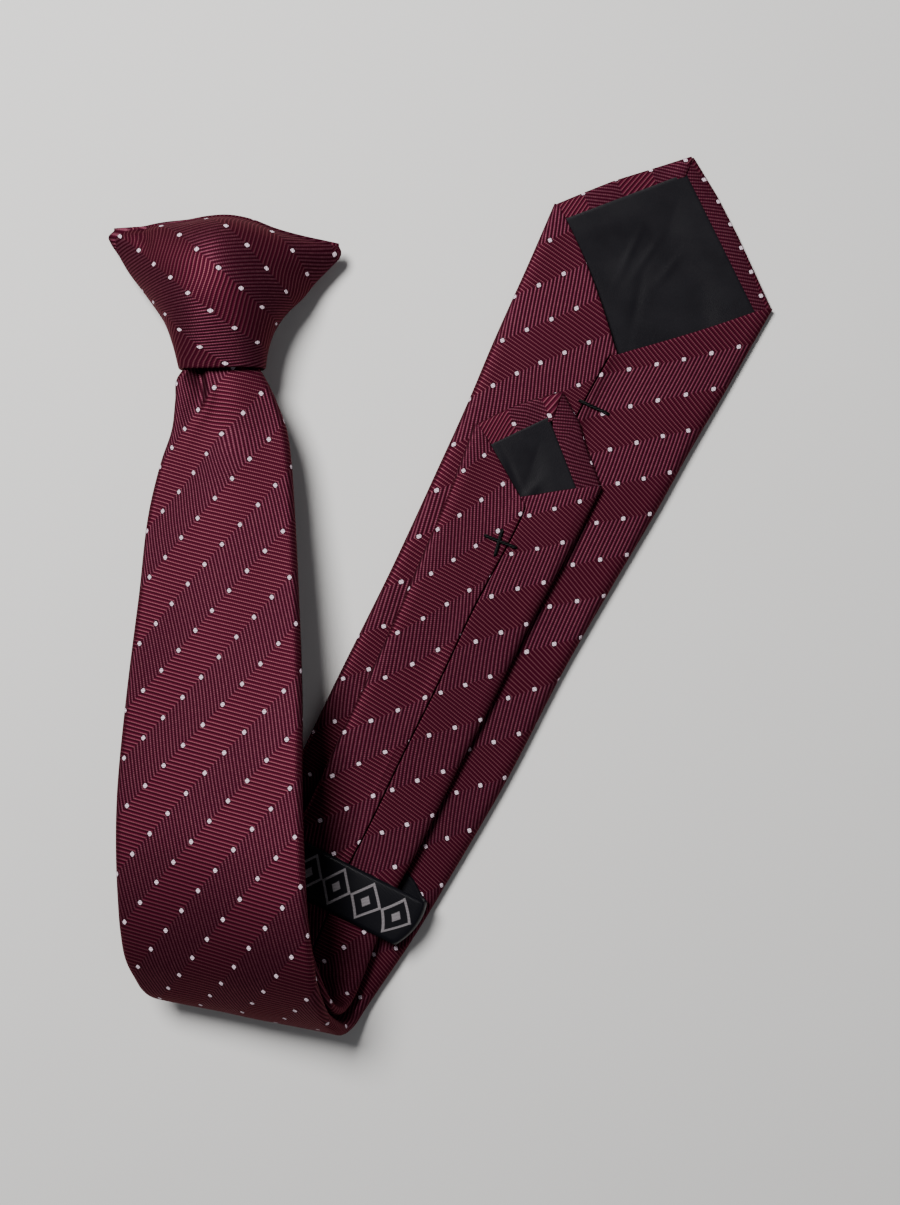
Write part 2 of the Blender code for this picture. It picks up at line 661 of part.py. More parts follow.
def set_origin_on_pin(jaw):
    """Put the jaw's origin on the pin's axis, and leave its shape where it is."""
    pin = np.array([CLIP_X - TABLE_CENTRE_X, CLIP_PIN_Y - TABLE_CENTRE_Y, CLIP_PIN_Z]) * MILLIMETRE
    for vertex in jaw.data.vertices:
        vertex.co -= mathutils.Vector(pin)
    jaw.location = pin


clear_scene()
silk = plain_material("wine_silk", (0.24, 0.035, 0.065), 0.55)
black_lining = plain_material("black_lining", (0.012, 0.012, 0.014), 0.5)
black_ribbon = plain_material("black_ribbon", (0.010, 0.010, 0.014), 0.4)
clip_steel = plain_material("clip_steel", (0.55, 0.56, 0.58), 0.3, 1.0)
build_blade(silk, black_lining)
build_tail(silk, black_lining)
build_keeper(black_ribbon)
build_knot(silk)
build_clip(clip_steel)
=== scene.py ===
"""The looks of a pre-tied clip-on tie, folded once and laid on a plain pale table."""

import math

import bmesh
import bpy
import numpy as np
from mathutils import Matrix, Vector


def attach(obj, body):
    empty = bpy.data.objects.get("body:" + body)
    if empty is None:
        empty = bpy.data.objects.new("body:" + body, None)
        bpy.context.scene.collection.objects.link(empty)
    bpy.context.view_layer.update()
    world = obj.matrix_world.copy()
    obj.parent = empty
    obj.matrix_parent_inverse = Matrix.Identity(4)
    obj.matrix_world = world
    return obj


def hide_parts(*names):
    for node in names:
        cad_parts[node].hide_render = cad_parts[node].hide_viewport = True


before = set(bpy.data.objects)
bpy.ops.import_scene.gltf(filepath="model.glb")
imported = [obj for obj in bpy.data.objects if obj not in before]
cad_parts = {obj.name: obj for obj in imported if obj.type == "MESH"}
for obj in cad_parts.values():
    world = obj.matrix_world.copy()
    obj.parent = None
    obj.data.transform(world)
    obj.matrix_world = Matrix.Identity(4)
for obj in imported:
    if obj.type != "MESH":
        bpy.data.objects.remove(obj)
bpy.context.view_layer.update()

# ---- The table, the light and the camera -------------------------------------------------
# A plain pale table top under the laid tie, lit softly from the upper left, and seen from
# straight above, 600 mm over the table.

TABLE_SIDE = 3.0
TABLE_DROP = 0.0004
CAMERA_PLACE = (0.0024, -0.00267, 0.600)
VIEW_HEIGHT = 0.38765


def calc(tree, operation, *values):
    """A math node on sockets or numbers, and its output."""
    node = tree.nodes.new("ShaderNodeMath")
    node.operation = operation
    for socket, value in zip(node.inputs, values):
        if isinstance(value, (int, float)):
            socket.default_value = value
        else:
            tree.links.new(value, socket)
    return node.outputs[0]


def mix_colour(tree, share, first, second):
    """A colour mix, where each input is a socket or a plain colour."""
    node = tree.nodes.new("ShaderNodeMix")
    node.data_type = "RGBA"
    for socket, value in ((node.inputs[0], share), (node.inputs[6], first), (node.inputs[7], second)):
        if isinstance(value, tuple):
            socket.default_value = (*value, 1.0)
        elif isinstance(value, (int, float)):
            socket.default_value = value
        else:
            tree.links.new(value, socket)
    return node.outputs[2]


def spread_value(tree, value, low, high, out_low=0.0, out_high=1.0, smooth=True):
    """A value carried from one range to another, held at the ends."""
    node = tree.nodes.new("ShaderNodeMapRange")
    node.interpolation_type = "SMOOTHSTEP" if smooth else "LINEAR"
    node.clamp = True
    tree.links.new(value, node.inputs["Value"])
    for name, number in (("From Min", low), ("From Max", high), ("To Min", out_low), ("To Max", out_high)):
        node.inputs[name].default_value = number
    return node.outputs["Result"]


def noise_value(tree, place, scale, detail=2.0):
    node = tree.nodes.new("ShaderNodeTexNoise")
    node.inputs["Scale"].default_value = scale
    node.inputs["Detail"].default_value = detail
    tree.links.new(place, node.inputs["Vector"])
    return node.outputs["Fac"]


def new_material(name):
    material = bpy.data.materials.new(name)
    material.use_nodes = True
    return material, material.node_tree, material.node_tree.nodes["Principled BSDF"]


def add_object(name, data):
    made = bpy.data.objects.new(name, data)
    bpy.context.scene.collection.objects.link(made)
    return made


def lay_table():
    mesh = bpy.data.meshes.new("table_top")
    half = TABLE_SIDE / 2
    corners = [(-half, -half), (half, -half), (half, half), (-half, half)]
    mesh.from_pydata([(x, y, -TABLE_DROP) for x, y in corners], [], [(0, 1, 2, 3)])
    table = add_object("table_top", mesh)
    material, tree, shader = new_material("pale_table")
    place = tree.nodes.new("ShaderNodeTexCoord").outputs["Object"]
    cloud = noise_value(tree, place, scale=9.0, detail=3.0)
    colour = mix_colour(tree, cloud, (0.76, 0.755, 0.745), (0.80, 0.795, 0.785))
    tree.links.new(colour, shader.inputs["Base Color"])
    shader.inputs["Roughness"].default_value = 0.85
    mesh.materials.append(material)


def add_light(name, place, size, power, colour):
    """A round soft light turned to the middle of the tie."""
    data = bpy.data.lights.new(name, "AREA")
    data.shape = "DISK"
    data.size = size
    data.energy = power
    data.color = colour
    lamp = add_object(name, data)
    lamp.location = place
    lamp.rotation_euler = (-Vector(place)).to_track_quat("-Z", "Y").to_euler()


lay_table()
add_light("window_light", (-0.38, 0.46, 0.87), size=0.42, power=18.0, colour=(1.0, 0.985, 0.97))
add_light("fill_light", (0.7, -0.5, 0.8), size=0.9, power=0.5, colour=(0.96, 0.98, 1.0))

world = bpy.data.worlds.new("studio")
world.use_nodes = True
background = world.node_tree.nodes["Background"]
background.inputs["Color"].default_value = (0.95, 0.96, 1.0, 1.0)
background.inputs["Strength"].default_value = 0.10
bpy.context.scene.world = world

camera_data = bpy.data.cameras.new("camera")
camera_data.sensor_width = 36.0
camera_data.lens = 36.0 * CAMERA_PLACE[2] / VIEW_HEIGHT
camera_data.clip_start = 0.01
camera = add_object("camera", camera_data)
camera.location = CAMERA_PLACE
bpy.context.scene.camera = camera

# ---- The blade ---------------------------------------------------------------------------
# The wide front piece: bias-cut cloth folded round an interlining to a flat tube, its back
# panels meeting at a slip-stitched seam and opening to a V over the pointed tip, where a
# narrow border of the cloth is turned back. Woven herringbone with a pin dot at each band.

MM = 0.001
PER_METRE = 1000.0  # millimetres
SAME_PLACE = 2e-6  # metres
UP = np.array([0.0, 0.0, 1.0])
DOWN = np.array([0.0, 0.0, -1.0])
LAID_MIDDLE = np.array([-2.4, 2.67, 0.0])

# A section of the blade a row: x, y and height of the left edge, then of the right edge, at
# the middle of the thickness, in millimetres from the photographed middle.
BLADE_SECTIONS = (
    (-81.0, 88.0, 15.5, -62.0, 88.0, 15.5),
    (-82.0, 78.5, 15.5, -61.0, 78.5, 15.5),
    (-82.7, 74.2, 15.8, -60.2, 74.2, 15.8),
    (-85.3, 70.6, 16.0, -58.0, 70.6, 16.0),
    (-86.0, 63.5, 16.5, -54.5, 63.5, 16.5),
    (-87.0, 54.0, 17.0, -51.0, 54.0, 17.0),
    (-90.0, 44.5, 18.0, -49.5, 44.5, 18.0),
    (-93.0, 32.0, 19.5, -48.5, 32.0, 19.5),
    (-96.5, 1.0, 22.5, -46.5, 1.0, 24.5),
    (-100.0, -30.0, 24.5, -45.0, -30.0, 30.0),
    (-102.5, -61.0, 26.0, -44.5, -61.0, 36.5),
    (-102.5, -77.5, 27.0, -43.5, -80.5, 40.0),
    (-102.0, -91.5, 26.5, -42.5, -96.0, 41.0),
    (-101.5, -101.0, 25.0, -41.0, -107.5, 40.0),
    (-100.5, -109.5, 22.5, -40.0, -115.8, 37.0),
    (-98.5, -115.4, 19.0, -38.5, -122.5, 32.0),
    (-96.5, -120.1, 15.5, -37.0, -128.3, 25.0),
    (-94.0, -122.5, 12.0, -34.5, -132.3, 18.5),
    (-91.0, -123.0, 9.0, -32.5, -134.8, 12.0),
    (-87.5, -120.9, 5.5, -30.0, -134.0, 7.0),
    (-83.0, -117.5, 3.3, -27.0, -130.0, 3.6),
    (-78.5, -110.0, 2.1, -22.5, -123.5, 2.1),
    (-67.5, -88.5, 2.1, -12.0, -108.0, 2.1),
    (-55.0, -63.5, 2.1, -0.5, -89.0, 2.1),
    (-35.5, -23.0, 2.1, 19.0, -55.5, 2.1),
    (-17.5, 13.5, 2.1, 38.0, -19.0, 2.1),
    (-5.5, 39.5, 2.1, 52.5, 6.0, 2.1),
    (6.5, 66.0, 2.1, 67.5, 31.5, 2.1),
    (13.0, 81.5, 2.1, 75.5, 46.0, 2.1),
    (25.5, 109.5, 2.1, 90.0, 70.5, 2.1),
    (33.5, 128.0, 2.1, 103.5, 94.0, 2.1),
)
# Sizes of the flat tube, in millimetres.
BLADE = {
    "thickness": 4.2,
    "tip_thickness": 2.6,
    "thinning": 60.0,  # the length over which it thins towards the tip
    "peak": -0.147,  # of the tip, across in half widths
    # across in half widths (1 is an edge, 2 the seam), and reach beyond the corners
    "point": (
        (-2.0, -36.2), (-1.0, 0.0), (-0.83, 7.2), (-0.65, 14.6), (-0.147, 32.4),
        (0.17, 24.8), (0.47, 16.3), (1.0, 0.0), (2.0, -36.2),
    ),
    "border": (4.9, 4.7),  # width of the turned border at the mitre, left and right of the peak
    # the rows of dots on each turned border: turn from its edge, and place at its middle
    "border_rows": ((94.7, 1.15, -14.05), (0.0, 2.5, 3.2)),
    "seam_over": 1.0,  # the right panel lies over the left one
    "seam_past": (0.1, 1.0),  # how far its edge lies past the middle, near the tip and farther back
    "columns": (12, 8, 56),  # in each panel, each edge and the face
    "row": 1.353,  # of the mesh, along the middle
    "seed": 3.0,  # of its unevenness
}
# Where the grain of the flat blade is held: x and y, angle and stretch along the dot rows, the
# same across them, and shift along and across the rows. Bias cloth wanders a little between.
BLADE_GRAIN = (
    (-10.0, -41.0, 45.2, 1.19, 57.0, 1.13, -2.2, 3.9),
    (13.0, -33.0, 48.4, 1.0, 48.4, 1.0, -2.3, 2.3),
    (5.0, -60.0, 48.4, 1.0, 48.4, 1.0, -2.6, 2.9),
    (0.0, -175.0, 47.0, 1.0, 47.0, 1.0, -2.0, 2.5),
    (-68.0, -462.0, 41.6, 0.97, 39.9, 0.98, -0.9, -8.9),
    (37.0, -477.0, 34.9, 0.90, 40.2, 1.01, -2.6, 2.4),
    (33.0, -444.0, 40.2, 0.96, 37.9, 0.98, -6.7, 5.55),
)
HOLD_REACH = 5.0  # how far round its place a hold of the grain is whole
ROWS_ANGLE = 47.0  # of the dot rows, from square across the blade, as it is cut
BAND_WIDTH = 11.45
DOT_PITCH = 8.3
ROW_LEAN = 0.085  # how far each row of dots has moved along, for each millimetre across
BEYOND_CORNERS = 45.0  # how far the flat band is laid out past the tip corners
FACE_WAVES = 0.16  # how uneven the face is, and the back panels
BACK_WAVES = 0.10
WAVES_FADE = 0.2  # of a panel's width
HEM_RADIUS = 0.25
HEM_TURNED = 2.0
SEAM_UNDERLAP = 2.6
SEAM_SHIFT = (62.0, 42.0)  # where the seam starts to shift before the corners, and over how much
SEAM_RISE = 0.25
SEAM_RISE_WIDTH = 5.0
SEAM_GROOVE = (0.75, 0.45)  # where it begins before the seam's edge, and over how much it falls
SEAM_GROOVE_DEPTH = 1.45  # in half thicknesses
SEAM_GROOVE_END = 3.0  # the length over which it closes at the bottom of the V
# The columns near the seam: share of the panel, and millimetres before the middle. The last one
# is for the panel that lies over the other, which ends SEAM_UNDERLAP past the middle instead.
SEAM_COLUMNS = (
    (0.60, 4.0), (0.66, 2.6), (0.70, 1.9), (0.74, 1.72), (0.78, 1.60), (0.82, 1.45), (0.86, 1.30),
    (0.90, 1.10), (0.95, -0.5), (1.00, -1.0),
)
TIP_INSIDE = 12.0  # from the peak to a place inside the tip
BORDER_RADIUS = 0.75
BORDER_STEPS = 8
BORDER_CROWN = 0.12
UNDER_LINING = 3.5  # of the border's width, under the lining
UNDER_LINING_END = (0.70, 0.22)  # the share of its length where that ends, and over how much
MITRE_UNDERLAP = 1.6
MITRE_RISE = 0.45  # of the left border over the right one
MITRE_RISE_FROM = 0.80  # the share of its length where it begins
MITRE_RADIUS = MITRE_RISE / 2.4
MITRE_TURNED = 1.2


def smooth_rows(rows, stations, slopes, at):
    """Rows of a table read at any stations by a smooth curve."""
    at = np.clip(at, stations[0], stations[-1])
    k = np.clip(np.searchsorted(stations, at, side="right") - 1, 0, len(stations) - 2)
    span = (stations[k + 1] - stations[k])[..., None]
    t = (at - stations[k])[..., None] / span
    value = (2 * t**3 - 3 * t**2 + 1) * rows[k] + (t**3 - 2 * t**2 + t) * span * slopes[k]
    return value + (3 * t**2 - 2 * t**3) * rows[k + 1] + (t**3 - t**2) * span * slopes[k + 1]


def unit(vectors):
    """The same directions, one unit long."""
    return vectors / np.maximum(np.linalg.norm(vectors, axis=-1, keepdims=True), 1e-12)


def eased(value):
    """A soft step from 0 to 1 as the value goes from 0 to 1."""
    value = np.clip(value, 0.0, 1.0)
    return value * value * (3 - 2 * value)


def rolled_out(left, right):
    """The two edges of a band laid out flat, triangle by triangle, with its lengths kept."""

    def third_corner(a, b, from_a, from_b):
        across = b - a
        gap = np.linalg.norm(across)
        along = (from_a**2 - from_b**2 + gap**2) / (2 * gap)
        off = math.sqrt(max(from_a**2 - along**2, 0.0))
        across = across / gap
        return a + across * along + np.array([across[1], -across[0]]) * off

    def gap(a, b):
        return float(np.linalg.norm(a - b))

    width = gap(left[0], right[0])
    flat = [(np.array([-width / 2, 0.0]), np.array([width / 2, 0.0]))]
    for k in range(1, len(left)):
        a, b = flat[-1]
        new_left = third_corner(a, b, gap(left[k - 1], left[k]), gap(right[k - 1], left[k]))
        new_right = third_corner(new_left, b, gap(left[k], right[k]), gap(right[k - 1], right[k]))
        flat.append((new_left, new_right))
    return np.array([row[0] for row in flat]), np.array([row[1] for row in flat])


class Strip:
    """A band of cloth laid through a table of sections, and the same band laid out flat.

    along runs on the middle line from the first section, offset and reach go to the right from
    that line, and up goes from the middle of the thickness towards the face of the cloth.
    """

    def __init__(self, sections, sizes):
        self.rows = np.array(sections, float)
        middle = (self.rows[:, :3] + self.rows[:, 3:]) / 2
        steps = np.linalg.norm(np.diff(middle, axis=0), axis=1)
        self.stations = np.concatenate([[0.0], np.cumsum(steps)])
        self.slopes = np.gradient(self.rows, self.stations, axis=0)
        self.length = float(self.stations[-1])
        self.lowest = self.rows[:, (2, 5)].min()
        self.sizes = sizes
        self.marks = np.arange(0.0, self.length + BEYOND_CORNERS, 1.0)
        left, right = self.edges(self.marks)
        self.flat_left, self.flat_right = rolled_out(left, right)

    def edges(self, along):
        """The left and the right edge, going straight on beyond the last section."""
        row = smooth_rows(self.rows, self.stations, self.slopes, along)
        row[..., 2] = np.maximum(row[..., 2], self.lowest)
        row[..., 5] = np.maximum(row[..., 5], self.lowest)
        left, right = row[..., :3], row[..., 3:]
        sideways = unit(right - left)
        onward = np.stack([-sideways[..., 1], sideways[..., 0], 0 * sideways[..., 0]], axis=-1)
        beyond = np.maximum(along - self.length, 0.0)[..., None]
        return left + onward * beyond, right + onward * beyond

    def half_width(self, along):
        left, right = self.edges(along)
        return np.linalg.norm(right - left, axis=-1) / 2

    def half_thickness(self, along):
        full, thin = self.sizes["thickness"] / 2, self.sizes["tip_thickness"] / 2
        over = self.sizes["thinning"]
        return full + (thin - full) * eased((along - self.length + over) / over)

    def place(self, along, offset, up):
        """Points of the band, offset in millimetres from its middle line."""
        left, right = self.edges(along)
        sideways = unit(right - left)
        middle = (left + right) / 2
        edges_ahead = self.edges(along + 0.5)
        edges_behind = self.edges(np.maximum(along - 0.5, 0.0))
        ahead, behind = sum(edges_ahead) / 2, sum(edges_behind) / 2
        share = (offset / (np.linalg.norm(right - left, axis=-1) / 2))[..., None]
        lean = (edges_ahead[1] - ahead) - (edges_behind[1] - behind)
        onward = unit((ahead - behind) + lean * share)
        face = unit(np.cross(sideways, -onward))
        drop = self.sizes["thickness"] / 2 - self.half_thickness(along)
        return middle + sideways * offset[..., None] + face * (up + drop)[..., None]

    def flat(self, along, reach):
        """Where a point lies on the flat cloth; reach is measured round the edges."""
        half = self.half_width(along)
        radius = self.half_thickness(along)
        edge = half - radius + math.pi / 2 * radius

        def at(line):
            return np.stack([np.interp(along, self.marks, line[:, c]) for c in (0, 1)], axis=-1)

        flat_left, flat_right = at(self.flat_left), at(self.flat_right)
        middle, across = (flat_left + flat_right) / 2, unit(flat_right - flat_left)
        side = np.sign(reach)[..., None]
        inside = middle + across * reach[..., None]
        corner = middle + side * across * edge[..., None]
        tangents = [unit(np.gradient(line, axis=0)) for line in (self.flat_left, self.flat_right)]
        tangent = unit(np.where(side < 0, at(tangents[0]), at(tangents[1])))
        back = -side * across * (np.abs(reach) - edge)[..., None]
        behind = corner + 2 * (back * tangent).sum(-1, keepdims=True) * tangent - back
        return np.where((np.abs(reach) > edge)[..., None], behind, inside)


def soft_waves(along, reach, seed):
    """The slight unevenness of pressed cloth, in millimetres."""
    a, b = along, reach
    wave = np.sin(a / 17.0 + seed) * np.cos(b / 13.0 + a / 41.0 + seed * 2.0)
    wave = wave + 0.6 * np.sin(a / 9.5 - b / 11.0 + seed * 3.0)
    return wave + 0.5 * np.cos(a / 29.0 + b / 7.5 + seed * 5.0)


def tube_columns(sizes):
    """Columns round the tube: (part, share), part -2 and 2 for panels, -1 and 1 for edges."""
    panel, edge, face = sizes["columns"]
    middle = sizes["peak"]
    left = [(0, -1.0 + (middle + 1.0) * i / (face // 2)) for i in range(face // 2)]
    right = [(0, middle + (1.0 - middle) * i / (face // 2)) for i in range(face // 2 + 1)]
    near_share = SEAM_COLUMNS[0][0]
    panel_shares = [near_share * i / panel for i in range(panel)] + [row[0] for row in SEAM_COLUMNS]
    columns = [(-2, share) for share in panel_shares[:0:-1]]
    columns += [(-1, 1.0 - i / edge) for i in range(edge)]
    columns += left + right
    columns += [(1, (i + 1) / edge) for i in range(edge)]
    columns += [(2, share) for share in panel_shares[1:]]
    return columns


def seam_past(strip, along):
    """How far past the middle line the edge of the upper back panel lies."""
    near_tip, back = strip.sizes["seam_past"]
    start, over = SEAM_SHIFT
    return back + (near_tip - back) * eased((start - (strip.length - along)) / over)


def before_seam(strip, along, part, share):
    """How far before the middle line a column of a back panel lies."""
    straight = strip.half_width(along) - strip.half_thickness(along)
    near_share, near = SEAM_COLUMNS[0]
    if share < near_share:
        return near + (straight - near) * (1.0 - share / near_share)
    over = part / 2 == strip.sizes["seam_over"]
    shares = [row[0] for row in SEAM_COLUMNS]
    places = [row[1] for row in SEAM_COLUMNS[:-1]] + [SEAM_COLUMNS[-1][1] if over else -SEAM_UNDERLAP]
    # how much each column goes with the seam where it shifts
    moved = [0.0] + [1.0] * (len(shares) - 3) + ([-0.5, -1.0] if over else [1.0, 0.0])
    shift = seam_past(strip, along) - 1.0
    return np.interp(share, shares, places) + np.interp(share, shares, moved) * shift


def tube_point(strip, along, part, share, lift):
    """Place and flat place of one column of the tube, at an array of lengths along it."""
    sizes = strip.sizes
    half, radius = strip.half_width(along), strip.half_thickness(along)
    straight = half - radius
    side = -1.0 if part < 0 else 1.0
    if part == 0:
        offset, up, reach = straight * share, radius + 0 * along, straight * share
        puff = 1.0 - abs(share) ** 6
        up = up + FACE_WAVES * soft_waves(along, reach, sizes["seed"]) * puff
        if lift is not None:
            up = up + lift(along, offset) * (1.0 - abs(share) ** 10)
    elif abs(part) == 1:
        angle = math.pi * share
        offset = side * (straight + radius * math.sin(angle))
        up = radius * math.cos(angle)
        reach = side * (straight + radius * angle)
    else:
        before_middle = before_seam(strip, along, part, share)
        offset = side * before_middle
        reach = side * (straight + math.pi * radius + straight - before_middle)
        past = seam_past(strip, along)
        if side == sizes["seam_over"]:
            out = SEAM_RISE * eased(1.0 - (before_middle + past) / SEAM_RISE_WIDTH)
        else:
            begin, fall = SEAM_GROOVE
            out = -SEAM_GROOVE_DEPTH * radius * eased((past + begin - before_middle) / fall)
            seam_end = strip.length + sizes["point"][0][1]
            out = out * eased((seam_end - along) / SEAM_GROOVE_END)
        # the waves fade out at both sides of the panel, so that it meets what is beside it
        inner = np.clip(np.minimum(share, 1.0 - share) / WAVES_FADE, 0.0, 1.0)
        up = -radius - out + BACK_WAVES * soft_waves(along, -offset, sizes["seed"] + 4.0) * inner
    return strip.place(along, offset, up), strip.flat(along, reach + 0 * along)


def column_end(strip, part, share):
    """How far beyond the corners of the tip a column reaches."""
    across = share
    if abs(part) == 1:
        across = part
    if abs(part) == 2:
        length = np.array([strip.length])
        straight = strip.half_width(length) - strip.half_thickness(length)
        end = before_seam(strip, length, part, 1.0)
        turned_in = (straight - before_seam(strip, length, part, share)) / (straight - end)
        across = part / 2 * (1.0 + float(turned_in[0]))
    table = strip.sizes["point"]
    return float(np.interp(across, [row[0] for row in table], [row[1] for row in table]))


def tube_patch(strip, lift=None):
    """The main grid of the tube, with the hems of its V and of its seam turned under."""
    sizes = strip.sizes
    columns = tube_columns(sizes)
    shares = np.linspace(0.0, 1.0, int(strip.length / sizes["row"]))
    points, flats = [], []
    for part, share in columns:
        end = strip.length + column_end(strip, part, share)
        place, flat = tube_point(strip, end * shares, part, share, lift)
        points.append(place)
        flats.append(flat)
    return np.array(points).transpose(1, 0, 2), np.array(flats).transpose(1, 0, 2), columns


def turned_edge(points, flats, outward, down, radius, width, steps=6, rows=2):
    """Cloth turned under along a line: a small round fold, and a strip that goes back below.

    outward is the direction out over the edge at each point, in space and on the flat cloth,
    and down the way into the fold. Returns rows from the line to the hidden end.
    """
    outward3, outward2 = outward
    grid, flat_grid = [points], [flats]
    for i in range(1, steps + 1):
        angle = math.pi * i / steps
        grid.append(points + outward3 * radius * math.sin(angle) + down * radius * (1 - math.cos(angle)))
        flat_grid.append(flats + outward2 * radius * angle)
    for i in range(1, rows + 1):
        back = width * i / rows
        grid.append(points - outward3 * back + down * 2 * radius)
        flat_grid.append(flats + outward2 * (math.pi * radius + back))
    return np.array(grid), np.array(flat_grid)


def out_of_line(points, hint):
    """Unit directions square to a line of points, on the hinted side."""
    tangent = unit(np.gradient(points, axis=0))
    hint = hint - (hint * tangent).sum(-1, keepdims=True) * tangent
    return unit(hint)


def v_hems(strip, points, flats, columns):
    """The turned-under edges of the two back panels along the V and along the seam."""
    made = []
    for side in (-2, 2):
        picks = [i for i, (part, _) in enumerate(columns) if part == side]
        if side == -2:
            picks = picks[::-1]
        line, flat_line = points[-1, picks], flats[-1, picks]
        onward = points[-1, picks] - points[-3, picks]
        flat_onward = flats[-1, picks] - flats[-3, picks]
        outward = (out_of_line(line, onward), out_of_line(flat_line, flat_onward))
        made.append(turned_edge(line, flat_line, outward, DOWN, HEM_RADIUS, HEM_TURNED))
        if side / 2 == strip.sizes["seam_over"]:
            last = 0 if side == -2 else len(columns) - 1
            near = 1 if side == -2 else len(columns) - 2
            line, flat_line = points[:, last], flats[:, last]
            outward = (
                out_of_line(line, points[:, last] - points[:, near]),
                out_of_line(flat_line, flats[:, last] - flats[:, near]),
            )
            # the face of the blade is the way into the tube
            along = (strip.length + column_end(strip, side, 1.0)) * np.linspace(0.0, 1.0, len(line))
            offset = -side / 2 * seam_past(strip, along)
            inward = strip.place(along, offset, 1.0 + 0 * along) - strip.place(along, offset, 0 * along)
            made.append(turned_edge(line, flat_line, outward, unit(inward), HEM_RADIUS, HEM_TURNED))
    return made


def turned(flat, angle):
    """Flat places read along and across a direction that stands at an angle to x."""
    cos, sin = math.cos(math.radians(angle)), math.sin(math.radians(angle))
    x, y = flat[..., 0], flat[..., 1]
    return np.stack([x * cos + y * sin, -x * sin + y * cos], axis=-1)


def inner_way(direction, start, inside):
    """The direction, turned round where it doesn't point to a place inside."""
    return direction if np.dot(direction, inside - start) > 0 else -direction


def tip_sides(points, flats, columns):
    """The two straight sides of the tip, left one first, with their ways along, in and out."""
    picks = [i for i, (part, _) in enumerate(columns) if part == 0]
    middle = len(picks) // 2
    line, flat_line = points[-1, picks], flats[-1, picks]
    base = (line[0] + line[-1]) / 2
    inside = line[middle] - unit(line[middle] - base) * TIP_INSIDE
    flat_inside = flats[-6, picks][middle]
    sides = []
    for part in (slice(0, middle + 1), slice(middle, None)):
        side, flat_side = line[part], flat_line[part]
        tangent = unit(side[-1] - side[0])
        inward = inner_way(np.cross(UP, tangent), side[0], inside)
        flat_tangent = unit(flat_side[-1] - flat_side[0])
        flat_inward = inner_way(np.array([flat_tangent[1], -flat_tangent[0]]), flat_side[0], flat_inside)
        sides.append((side, flat_side, tangent, inward, flat_tangent, -flat_inward))
    return sides


def tip_border(strip, points, flats, columns):
    """The border of cloth turned back along the tip, its left part over its right at the mitre."""
    sides = tip_sides(points, flats, columns)
    # where the two inner edges meet, from the peak
    widths = np.array(strip.sizes["border"])
    mitre = np.linalg.solve(np.array([inward[:2] for _, _, _, inward, _, _ in sides]), widths)
    made = []
    for number, (side, flat_side, tangent, inward, flat_tangent, flat_out) in enumerate(sides):
        width = widths[number]
        share = np.linspace(0.0, 1.0, len(side))
        share = share if number == 0 else share[::-1]
        slide = share * (float(np.dot(mitre, tangent[:2])) - MITRE_UNDERLAP * number)
        rise = MITRE_RISE * eased((share - MITRE_RISE_FROM) / (1 - MITRE_RISE_FROM)) * (1 - number)
        ends, over = UNDER_LINING_END
        total = (width + UNDER_LINING * (1 - eased((share - ends) / over)))[:, None]
        grid, flat_grid = [side], [flat_side]
        for part in np.arange(1, BORDER_STEPS + 1) / BORDER_STEPS:
            angle = math.pi * part
            lifted = BORDER_RADIUS * (1 - math.cos(angle)) + rise * part**2
            grid.append(side - inward * BORDER_RADIUS * math.sin(angle) + UP * lifted[:, None])
            flat_grid.append(flat_side + flat_out * BORDER_RADIUS * angle)
        for part in np.arange(1, BORDER_STEPS + 1) / BORDER_STEPS:
            back = total * part
            shift = slide[:, None] * np.minimum(back / width, 1.0)
            height = 2 * BORDER_RADIUS + BORDER_CROWN * math.sin(math.pi * part) + rise[:, None]
            grid.append(side + inward * back + tangent * shift + UP * height)
            beyond = flat_out * (math.pi * BORDER_RADIUS + back)
            flat_grid.append(flat_side + beyond + flat_tangent * shift)
        grid, flat_grid = np.array(grid), np.array(flat_grid)
        turn, along_rows, across_rows = strip.sizes["border_rows"][number]
        angle = math.degrees(math.atan2(flat_tangent[1], flat_tangent[0])) + turn
        pivot = (flat_side[0] + flat_side[-1]) / 2
        laid = turned(flat_grid - pivot, angle) + np.array([along_rows, across_rows])
        made.append((grid, laid))
        if number == 0:
            end, laid_end = grid[BORDER_STEPS:, -1], laid[BORDER_STEPS:, -1]
            outward = (0 * end + tangent, 0 * laid_end + turned(flat_tangent, angle))
            made.append(turned_edge(end, laid_end, outward, DOWN, MITRE_RADIUS, MITRE_TURNED))
    return made


def on_the_rows(flat, grain):
    """Flat cloth places turned so that x runs along a row of dots and y across the rows."""
    total, weight = 0.0, 0.0
    for x, y, angle, stretch, cross_angle, cross_stretch, along, across in grain:
        held = np.array([x, y])
        share = 1.0 / (((flat - held) ** 2).sum(-1, keepdims=True) + HOLD_REACH**2) ** 2
        along_row = stretch * turned(flat - held, angle)[..., 0]
        across_row = cross_stretch * turned(flat - held, cross_angle)[..., 1]
        moved = np.stack([along_row, across_row], axis=-1)
        place = turned(held, ROWS_ANGLE) + np.array([along, across]) + moved
        total, weight = total + share * place, weight + share
    return total / weight


def grid_area(points):
    """Area of a grid of points, in square metres."""
    down, beside = points[1:, :-1] - points[:-1, :-1], points[:-1, 1:] - points[:-1, :-1]
    return float(np.linalg.norm(np.cross(down, beside), axis=-1).sum()) * MM * MM


